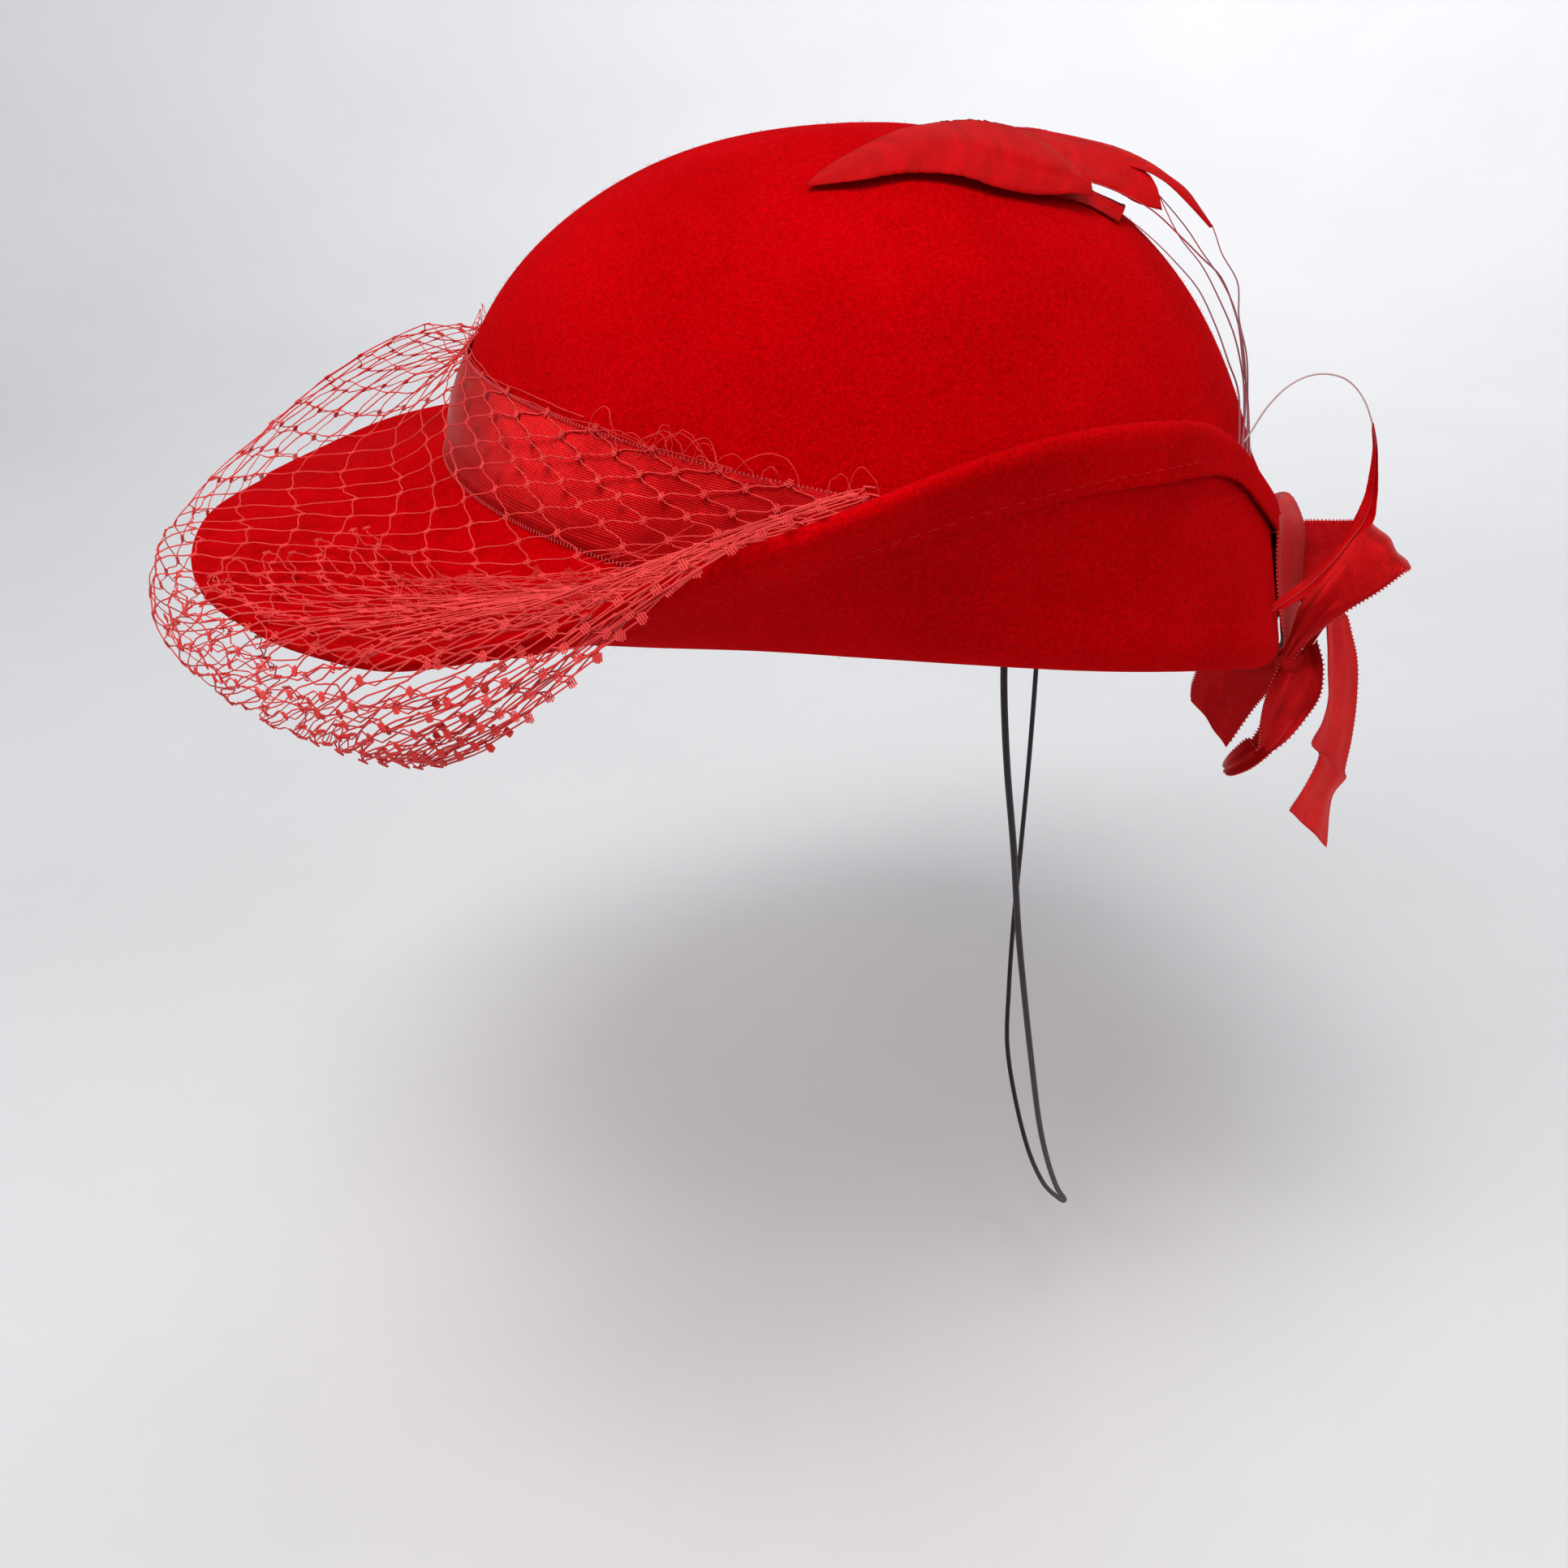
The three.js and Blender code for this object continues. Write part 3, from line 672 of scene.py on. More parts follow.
def addFelt():
    count = felt["bearings"]
    sections = [feltSection(i * 360 / count) for i in range(count)]
    stations = len(sections[0]) - 1

    def place(u, v):
        return sections[round(u * count) % count][round(v * stations)]

    work = gridWork(count, stations, place, (1, stations), 0.05)
    addPiece("hatFelt", work, feltFinish, ["hat_body"])


hemStitch = {"pitch": 3.6, "long": 2.3, "in": 2.2, "thread": 0.13}


def addHemStitches():
    # one row of machine stitches just above the hem's lower edge
    threads = []
    bearing = 0
    while bearing < 360:
        here = brimPoint(bearing, brimValue("width", bearing) - 9, 4)
        ahead = brimPoint(bearing + 1, brimValue("width", bearing + 1) - 9, 4)
        degree = np.linalg.norm(ahead - here)
        line = []
        for f, deep in ((0, -0.3), (0.2, 0), (0.5, 0.04), (0.8, 0), (1, -0.3)):
            turn = bearing + f * hemStitch["long"] / degree
            width = brimValue("width", turn)
            length = width - hemWide(turn) + hemStitch["in"]
            line.append(brimPoint(turn, length, 4 + brimDent(turn, width) + deep))
        threads.append((line, (0.8, 1, 1, 1, 0.8)))
        bearing += hemStitch["pitch"] / degree
    addThreads("hemStitches", threads, hemStitch["thread"], stitchFinish)


fuzz = {"hairs": 8500, "radius": 0.032, "tall": (0.35, 1.0), "lint": 16}


def addFuzz():
    # loose wool hairs standing off the outer faces, and a few longer bits of lint
    chance = random.Random(77)
    threads = []
    for k in range(fuzz["hairs"] + fuzz["lint"]):
        bearing = chance.uniform(0, 360)
        if chance.random() < 0.55:
            climb = math.asin(chance.uniform(0, 1) ** 0.8) / math.pi * 2
            foot = offCrown(bearing, climb, crownDent(bearing, climb) - 0.1)
            away = crownNormal(bearing, climb)
        else:
            width = brimValue("width", bearing)
            length = width - chance.uniform(-2, 12) if chance.random() < 0.6 else chance.uniform(20, width)
            under = chance.random() < 0.5
            deep = (3.6 if length > width - felt["hem"] else 1.9) if under else 0.1
            if length > width:
                deep = chance.uniform(0.2, 3.4)
            foot = brimPoint(bearing, min(length, width + 1.4), deep + brimDent(bearing, min(length, width)))
            away = foot - brimPoint(bearing, min(length, width), 1.8 + brimDent(bearing, min(length, width)))
            away = unit(away)
        long = chance.uniform(*fuzz["tall"])
        lean = unit(np.array([chance.gauss(0, 1) for _ in range(3)]))
        lean = unit(lean - away * lean.dot(away))
        if k >= fuzz["hairs"]:
            long *= 5
            away = away * 0.12
        middle = foot + away * long * 0.5 + lean * long * 0.25
        stray = np.array([chance.gauss(0, 0.6) for _ in range(3)])
        tip = middle + away * long * 0.3 + unit(lean + stray) * long * 0.6
        threads.append(([foot, middle, tip], (1, 1, 0.5)))
    addThreads("feltFuzz", threads, fuzz["radius"], fuzzFinish, (), 0)


addFelt()
addHemStitches()
addFuzz()
print("felt made")

# the ribbon band and its woven edges

band = {"reach": 24.3, "foot": 2.8, "clearance": 0.5, "wall": 0.6, "width": 25, "columns": 360, "rows": 14}
edgeDots = []


def bandPoint(bearing, f, lift=0.0):
    # f runs from the lower edge to the upper edge
    flare = brimValue("flare", bearing)
    foot = brimPoint(bearing, band["foot"] + band["wall"] / 2, -band["clearance"] - 0.2)
    if f < 0.15:
        low = offCrown(bearing, climbAt(bearing, band["reach"] * 0.15), lerp(flare, band["clearance"], 0.3))
        point = lerp(foot, low, f / 0.15)
        return point + crownNormal(bearing, 0.02) * lift
    off = lerp(flare, band["clearance"], min(0.2 + 0.8 * f, 1)) + band["wall"] / 2
    return offCrown(bearing, climbAt(bearing, band["reach"] * f), off + lift)


def bandRipple(bearing, f):
    # soft upright puckers, strongest on the near side
    turn = math.radians(bearing)
    strength = 0.10 + 0.22 * math.exp(-((sideOf(bearing) - 70) / 22) ** 2)
    wave = math.sin(turn * 26 + 2 * math.sin(turn * 5)) + 0.5 * math.sin(turn * 43 + 1)
    return strength * wave * math.sin(math.pi * f) ** 0.7


def addBand():
    columns, rows = band["columns"], band["rows"]

    def place(u, v):
        bearing = 360 * u - 180
        return bandPoint(bearing, v, bandRipple(bearing, v))

    girth = 620
    piece = addPiece("ribbonBand", gridWork(columns, rows, place, (girth, band["width"]), 0.02),
                     satinFinish, ["ribbon_band"])
    thicken(piece, 0.4)
    for k in range(round(girth / 0.95)):
        bearing = 360 * k * 0.95 / girth - 180
        for f, past in ((0.0, -0.012), (1.0, 1.012)):
            inner = bandPoint(bearing, abs(f - 0.012), 0.15)
            outer = bandPoint(bearing, past, 0.15) if f else 2 * bandPoint(bearing, 0, 0.15) - inner
            edgeDots.append(([inner, outer], (1, 1)))


# ribbon strips: left and right edge of each row, and how far the middle swells

strips = {
    "bowLoopBack": {"pleats": 2.6, "fade": 0.3, "rows": [
        (6, 114.6, -37.7, 8, 115.5, -39, 0.6), (8, 115.5, -30.9, 13, 118.7, -29.6, 1.2),
        (8, 116.7, -22.3, 16, 122.9, -23.6, 1.8), (7, 119.2, -16.6, 18, 127.5, -18.5, 2.2),
        (6, 122.9, -9.7, 18, 133, -14.1, 2.2), (5, 127.6, -1.9, 16, 138.2, -9.8, 1.4),
        (1, 130.3, -1.1, 12, 140.2, -9.5, 0.6), (-3, 129.3, -2.5, 7, 138.9, -9.5, -0.4),
        (-6, 124.6, -3.6, 2, 131.6, -17.1, -1), (-6, 118.3, -3.8, -1, 123.8, -22.1, -1),
        (-5, 114.5, -4.1, -3, 115.8, -25.9, -0.6),
        (-5, 110.6, -6, -3, 111.6, -31, -0.3)]},
    "bowLoopLow": {"pleats": 2.2, "fade": 0.25, "rows": [
        (7, 114.2, -37.6, 4, 122.4, -32.8, 0.8), (12, 111.9, -40.9, 6, 124.5, -38.6, 1),
        (15, 110.4, -46.2, 7, 124.7, -46.3, 1.6), (16, 110, -51.8, 7, 122.3, -52.4, 1.6),
        (16, 110.3, -56.7, 9, 118, -58.7, 1.2), (14, 110.3, -60.1, 11, 114, -61.9, 0.6),
        (9, 108.4, -59.2, 13, 112.6, -62.6, 0.4), (6, 105.9, -63.2, 14, 108.9, -65.7, 0.4),
        (3, 103.9, -67.9, 13, 105, -68.3, 0), (-1, 103.6, -72, 9, 103.6, -69.8, 0),
        (-4, 106.1, -71, 4, 107.9, -71.1, 0), (-4, 110.3, -65.3, 0, 114.5, -66.7, 0),
        (-1, 114.1, -53.6, 1, 119.6, -52.8, 0)]},
    "bowTailLeft": {"pleats": 1.6, "fade": 0.2, "rows": [
        (2, 116.8, -37.3, -3, 121.4, -37.1, 0), (4, 119.5, -29.6, -5, 126.2, -29.7, 0.5),
        (6, 123.1, -25.5, -6, 129.4, -28, 1), (7, 124.6, -31.1, -7, 132.4, -34.4, 1.4),
        (8, 125.8, -39.4, -8, 135, -42.4, 1.6), (8, 126.9, -46.9, -9, 136.6, -54.9, 1.6),
        (8, 126.3, -53.7, -9, 136.8, -65.6, 1.2), (7, 124.6, -60.1, -10, 136.6, -75.2, 0.6),
        (2, 127.7, -65.6, -12, 137.5, -77.9, -0.6), (3, 125, -75, -13, 135, -84.1, -1),
        (5, 121.7, -81.4, -12, 135.4, -100.1, -0.6)]},
    "bowTailRight": {"pleats": 2, "fade": 0.3, "rows": [
        (-2, 112.5, -37.4, 1, 117, -38.2, 0), (-6, 103.2, -41.7, -2, 114.5, -46.1, 0.8),
        (-12, 95.8, -46.9, -6, 113, -51.5, 1.2), (-16, 94.1, -53.4, -10, 110.5, -58, 1.2),
        (-19, 94.2, -60.6, -14, 104.9, -72.1, 0.6)]},
}
stripRows = {"along": 72, "across": 20, "width": 24, "wall": 0.45}
nodeFor = {"bowLoopBack": "bow_loop_back", "bowLoopLow": "bow_loop_low",
           "bowTailLeft": "bow_tail_left", "bowTailRight": "bow_tail_right"}


def stripShape(spec):
    rows = np.array(spec["rows"], float)
    left, right = smoothLine(rows[:, :3], 16), smoothLine(rows[:, 3:6], 16)
    middle = (left + right) / 2
    lengths = lineLengths(middle)
    total = lengths[-1]
    swell = np.interp(np.linspace(0, 1, len(middle)), np.linspace(0, 1, len(rows)), rows[:, 6])
    tangents = np.gradient(middle, axis=0)

    def place(u, v):
        s = u * total
        at = [atLength(side, lengths, s) for side in (left, right)]
        tangent = unit(atLength(tangents, lengths, s))
        across = at[1] - at[0]
        normal = unit(np.cross(across, tangent))
        crease = 0.45 * math.sin(9 * v + 7 * u + 2 * math.sin(5 * u)) * math.sin(math.pi * v)
        bulge = crease + float(np.interp(s, lengths, swell)) * math.sin(math.pi * v)
        pleat = spec["pleats"] * math.exp(-u / spec["fade"]) * math.sin(2 * math.pi * 2.5 * v)
        return lerp(at[0], at[1], v) + normal * (bulge + pleat * 0.35)

    return place, total


def addStripEdges(place, total):
    for k in range(int(total / 1.1)):
        u = k * 1.1 / total
        for v, past in ((0.02, -1.0), (0.98, 1.0)):
            inner = place(u, v)
            rim = place(u, 0 if past < 0 else 1)
            away = unit(rim - inner)
            edgeDots.append(([rim - away * 0.25, rim + away * 0.42], (1.1, 1)))


def addStrips():
    for name, spec in strips.items():
        place, total = stripShape(spec)
        work = gridWork(stripRows["along"], stripRows["across"], place, (total, stripRows["width"]))
        # the left tail gets the paler copy of the satin, which is painted light
        finish = paintedLightRibbonFinish if name == "bowTailLeft" else satinFinish
        piece = addPiece(name, work, finish, [nodeFor[name]])
        thicken(piece, stripRows["wall"])
        addStripEdges(place, total)


drop = {
    # bearing and length below the rim of the near edge, which lies on the felt, then the far edge
    "rows": [(164, 1.5, 2.6, 0, 111, 4.5), (161.5, -3, 4.6, 1, 115, -1.5), (160.5, -8, 4.4, 2, 116, -6),
             (160.5, -14, 3.6, 2, 116.4, -13), (161, -21, 3, 0, 117.2, -21),
             (163, -28, 2.8, -1, 117.4, -29.5),
             (167, -33, 3.4, 1, 116.4, -35.5), (170, -36, 4.8, 4, 115.4, -38.5)],
    "inside": [(171, 187, -20, -1.2), (171, 187, -9, -1), (169, 186, 0, -1.2)],
}


def addDrop():
    rim = brimValue("width", 180)
    rows = []
    for near, far, past, deep in drop["inside"]:
        rows.append((*brimPoint(near, brimValue("width", near) + past, deep),
                     *brimPoint(far, rim + past, deep), 0))
    for bearing, past, deep, *far in drop["rows"]:
        near = brimPoint(bearing, brimValue("width", bearing) + past, deep)
        rows.append((*near, *far, 1.2))
    place, total = stripShape({"rows": rows, "pleats": 0, "fade": 1})
    work = gridWork(stripRows["along"], stripRows["across"], place, (total, stripRows["width"]))
    piece = addPiece("ribbonDrop", work, mattFinish, ["ribbon_drop"])
    thicken(piece, stripRows["wall"])
    addStripEdges(place, total)


knot = {"place": (6, 116, -38), "radii": (3.5, 2.7), "height": 7}


def addKnot():
    # a short piece of ribbon wound round the loops and drawn in at both ends
    centre = np.array(knot["place"])
    axis = unit(np.array([0.2, -0.34, -0.92]))
    first = unit(np.cross(axis, np.array([0, 1.0, 0])))
    second = np.cross(axis, first)

    def place(u, v):
        turn = 2 * math.pi * u * 1.1
        barrel = 0.22 + 0.78 * math.sin(math.pi * min(max(v, 0.01), 0.99)) ** 0.45
        crease = 0.28 * math.sin(4 * turn + 1.5) + 0.18 * math.sin(9 * turn)
        long, short = (radius * barrel + crease * barrel + 0.5 * u for radius in knot["radii"])
        ring = first * long * math.cos(turn) + second * short * math.sin(turn)
        return centre + ring + axis * (v - 0.5) * knot["height"]

    piece = addPiece("bowKnot", gridWork(72, 18, place, (38, stripRows["width"])), satinFinish,
                     ["bow_knot"])
    thicken(piece, stripRows["wall"])


addBand()
addStrips()
addDrop()
addKnot()
addThreads("ribbonSelvedge", edgeDots, 0.22, edgeFinish)
print("ribbons made")

# the net

netRows = [
    # bearing, reach, sink, tuck, then how far the fold stands off at top, foot, middle, outside and rim
    (-95, 5, 5, -4, 3, 3, 8, 9, 7, 3),
    (-75, 9, 16, -1, 4, 5, 15, 15, 10, 4),
    (-50, 12, 20, 5, 6, 7, 22, 22, 15, 7),
    (-25, 12, 18, 10, 6, 9, 28, 28, 20, 10),
    (-8, 9, 18, 12, 5, 8, 27, 26, 18, 9),
    (10, 6, 18, 12, 2.5, 4.5, 14, 14, 11, 6),
    (30, 13, 18, 10, 1.5, 2.5, 8, 7, 6, 5),
    (55, 12, 20, 5, 1.2, 1.5, 8, 7, 6, 5),
    (75, 10, 22, 1, 1, 1.5, 8, 9, 7, 5),
    (95, 5, 14, -2, 1, 2, 8, 10, 8, 4),
]
net = {
    "flat": (0.148, 0.443),  # 22 by 33 cells; the net drawn here has a different count
    "strand": 10.5, "thread": 0.17, "knotLong": 2.0, "knotBars": 4, "knotPitch": 0.5,
    "across": (0, 22, 45, 62, 80), "top": (0, 18, 56, 82, 108), "rim": (0, 22, 46, 68, 101),
    "end": (0, 22, 44, 60, 72),  # bearings at which the columns leave the crown, pass the rim and end
    "layers": [
        {"seed": 3, "from": -80, "to": 80, "columns": 27, "start": 0, "stop": 1, "lift": 0, "loose": 0.5},
        {"seed": 8, "from": 34, "to": 70, "columns": 4, "start": 44, "stop": 0.8, "lift": -2.4,
         "loose": 1.9},
    ],
}
netFolds = {}


def netFold(bearing):
    # one line of the net from the crown, along the brim and round under its edge
    key = round(min(max(bearing, -112), 112) * 2) / 2
    if key not in netFolds:
        reach, sink, tuck, top, foot, corner, middle, outside, rim = (
            rowValue(netRows, k, min(max(key, -95), 95)) for k in range(1, 10))
        out, width = outward(key), brimValue("width", key)
        edge = brimPoint(key, width, felt["wall"])

        def past(o, z):
            return edge + out * o + up * z

        line = smoothLine([
            offCrown(key, climbAt(key, band["reach"] + top - 1), 1.2),
            offCrown(key, climbAt(key, 12), brimValue("flare", key) + 0.8 + foot),
            brimPoint(key, 13, -corner), brimPoint(key, 0.5 * width, -middle),
            brimPoint(key, 0.82 * width, -outside), past(reach * 0.7, rim), past(reach, -sink * 0.35),
            past(reach * 0.5, -sink * 0.9), past(-tuck, -sink)], 10)
        netFolds[key] = (line, lineLengths(line))
    return netFolds[key]


def netLine(column):
    # the net's own lines leave the crown further round than they meet the brim's edge
    key = round(column, 3)
    if key not in netLines:
        start, rim, end = (math.copysign(np.interp(abs(key), net["across"], net[part]), key)
                           for part in ("top", "rim", "end"))
        points = []
        for k in range(61):
            f = k / 60
            bearing = lerp(start, rim, math.sin(min(f / 0.74, 1) * math.pi / 2))
            bearing = lerp(bearing, end, smooth((f - 0.74) / 0.26))
            low = math.floor(bearing * 2) / 2
            folds = (netFold(low), netFold(low + 0.5))
            pair = [atLength(line, lengths, f * lengths[-1]) for line, lengths in folds]
            points.append(lerp(pair[0], pair[1], (bearing - low) * 2))
        points = np.array(points)
        netLines[key] = (points, lineLengths(points))
    return netLines[key]


def netPoint(column, s, lift=0.0):
    line, lengths = netLine(column)
    point = atLength(line, lengths, s)
    along = atLength(line, lengths, min(s + 1, lengths[-1])) - atLength(line, lengths, max(s - 1, 0))
    turn = math.radians(column)
    side = unit(np.array([math.cos(turn), math.sin(turn), 0]))
    side = unit(side - unit(along) * side.dot(unit(along)))
    return point + unit(np.cross(along, side)) * lift, unit(along), side


def netThread(start, end, startWay, endWay, bend, shake):
    # a strand that leaves and meets its knots a little along the fold of the net
    gap = np.linalg.norm(end - start)
    straight = (end - start) / max(gap, 1e-6)
    leave = unit(lerp(straight, startWay, bend)) * gap * 0.34
    arrive = unit(lerp(straight, endWay, bend)) * gap * 0.34
    a, b = start + leave, end - arrive
    points = []
    for f in (0, 0.25, 0.5, 0.75, 1):
        points.append((1 - f) ** 3 * start + 3 * f * (1 - f) ** 2 * a + 3 * f * f * (1 - f) * b + f**3 * end
                      + shake * math.sin(math.pi * f))
    return points


def netLayer(layer, threads):
    chance = random.Random(layer["seed"])
    half = layer["columns"] * 2
    bearings = [lerp(layer["from"], layer["to"], h / half) for h in range(half + 1)]
    strand = net["strand"]
    reach = [layer["start"]] * (half + 1)
    ended = [False] * (half + 1)
    rows = []
    for j in range(60):
        row = {}
        for h in range(half + 1):
            if (h + j) % 2 == 0 and not ended[h]:
                total = netLine(bearings[h])[1][-1] * layer["stop"]
                s = min(reach[h], total)
                ended[h] = reach[h] >= total
                lift = layer["lift"] + chance.gauss(0, 0.5) * layer["loose"]
                point, along, side = netPoint(bearings[h], s, lift)
                loose = layer["loose"] * (1.5 if bearings[h] > 45 and s > 60 else 1)
                point = point + along * chance.gauss(0, 0.55) * loose + side * chance.gauss(0, 0.55) * loose
                row[h] = (point, along, side)
        rows.append(row)
        spread = []
        for h in range(half + 1):
            low, high = max(h - 1, 0), min(h + 1, half)
            a, b = (netPoint(bearings[k], min(reach[h], netLine(bearings[k])[1][-1]))[0]
                    for k in (low, high))
            spread.append(np.linalg.norm(a - b) / (high - low))
        for h in range(half + 1):
            gap = np.mean(spread[max(h - 2, 0):h + 3])
            long = strand * lerp(0.82, 1, smooth(reach[h] / 55))
            long *= lerp(1, 0.88, smooth((bearings[h] - 60) / 25))
            reach[h] += math.sqrt(max(long**2 - gap**2, (0.32 * long) ** 2))
    for j, row in enumerate(rows):
        for h, (point, along, side) in row.items():
            for way in (-1, 1):
                if j + 1 < len(rows) and h + way in rows[j + 1]:
                    end, endAlong, _ = rows[j + 1][h + way]
                    if np.linalg.norm(end - point) < 2:
                        continue
                    shake = (np.array([chance.gauss(0, 1) for _ in range(3)])) * 0.35 * layer["loose"]
                    line = netThread(point, end, along, endAlong, 0.5, shake)
                    threads.append((line, [chance.uniform(0.85, 1.15) for _ in line]))
            addNetKnot(point, along, side, chance, threads)
    return rows


def addNetKnot(point, along, side, chance, threads):
    # a few wraps of thread side by side
    tilt = chance.gauss(0, 0.25)
    across = unit(side * math.cos(tilt) + along * math.sin(tilt))
    stack = unit(along * math.cos(tilt) - side * math.sin(tilt))
    bars = net["knotBars"]
    for k in range(bars):
        place = point + stack * (k - (bars - 1) / 2) * net["knotPitch"]
        long = net["knotLong"] * (0.75 if k in (0, bars - 1) else 1) / 2 * chance.uniform(0.85, 1.15)
        threads.append(([place - across * long, place + across * long], (1.25, 1.25)))


def addTopCord(threads, chance):
    # the drawn-in edge of the net, lying on the crown just above the ribbon
    for above, low, high in ((0.6, -90, 84), (1.8, -85, 62), (3.2, -60, 20)):
        points = []
        for k in range(28):
            bearing = lerp(low, high, k / 27)
            height = band["reach"] + above + chance.gauss(0, 0.45)
            points.append(offCrown(bearing, climbAt(bearing, height), 0.9 + chance.gauss(0, 0.25)))
        threads.append(looseThread(points, chance, 0.08))


def looseThread(points, chance, wander):
    line = smoothLine(points, 4)
    drift = np.zeros(3)
    bent = []
    for point in line:
        drift = drift * 0.7 + np.array([chance.gauss(0, 1) for _ in range(3)]) * wander
        bent.append(point + drift)
    return bent, [chance.uniform(0.7, 1.1) for _ in bent]


def gatherPoint(bearing, out, high):
    # round the middle of the gathered end, which runs along the trough and climbs at its back
    f = smooth((bearing - 55) / 32)
    rise = lerp(5, 9, f) + 13 * smooth((bearing - 86) / 22)
    return brimPoint(bearing, max(lerp(40, 9, f) + out, 3.2), -max(rise + high, 1.2))


def addGather(threads):
    chance = random.Random(21)
    for _ in range(70):
        start = chance.uniform(52, 88)
        span = chance.uniform(7, 26)
        out, high = chance.gauss(0, 4), chance.gauss(0, 3)
        points = []
        for k in range(6):
            points.append(gatherPoint(min(start + span * k / 5, 110), out, high))
            out += chance.gauss(0, 2.4)
            high += chance.gauss(0, 1.8)
        threads.append(looseThread(points, chance, 0.12))
        for k in (1, 4):
            if chance.random() < 0.4:
                addNetKnot(points[k], unit(points[k] - points[k - 1]), up, chance, threads)


def addStandingLoops(threads):
    # cut ends and loops that stand up over the ribbon, in front and at the gathered end
    chance = random.Random(33)
    for low, high, count, tall in ((-34, 6, 34, 7), (60, 100, 20, 7)):
        for _ in range(count):
            start = chance.uniform(low, high)
            span = chance.choice((-1, 1)) * chance.uniform(1.5, 9)
            top = chance.uniform(0.15, 1) * tall
            points = []
            for f, rise, off in ((0, 0, 1), (0.15, 0.6, 1.8), (0.45, 1, 2.6), (0.8, 0.7, 2.2),
                                 (1, 0.05, 1.2)):
                bearing = start + span * f
                height = band["reach"] - 1 + top * rise + chance.gauss(0, 0.8)
                off = off * chance.uniform(0.7, 1.5)
                points.append(offCrown(bearing, climbAt(bearing, height), off + 0.3))
            threads.append(looseThread(points, chance, 0.16))


def addNet():
    threads = []
    for layer in net["layers"]:
        netLayer(layer, threads)
    piece = addThreads("netVeil", threads, net["thread"], netFinish, ["veil"], 0)
    frays = []
    addTopCord(frays, random.Random(5))
    addGather(frays)
    addStandingLoops(frays)
    addThreads("netFrays", frays, net["thread"] * 0.62, netFinish)
    return piece


addNet()
print("net made")

# feathers

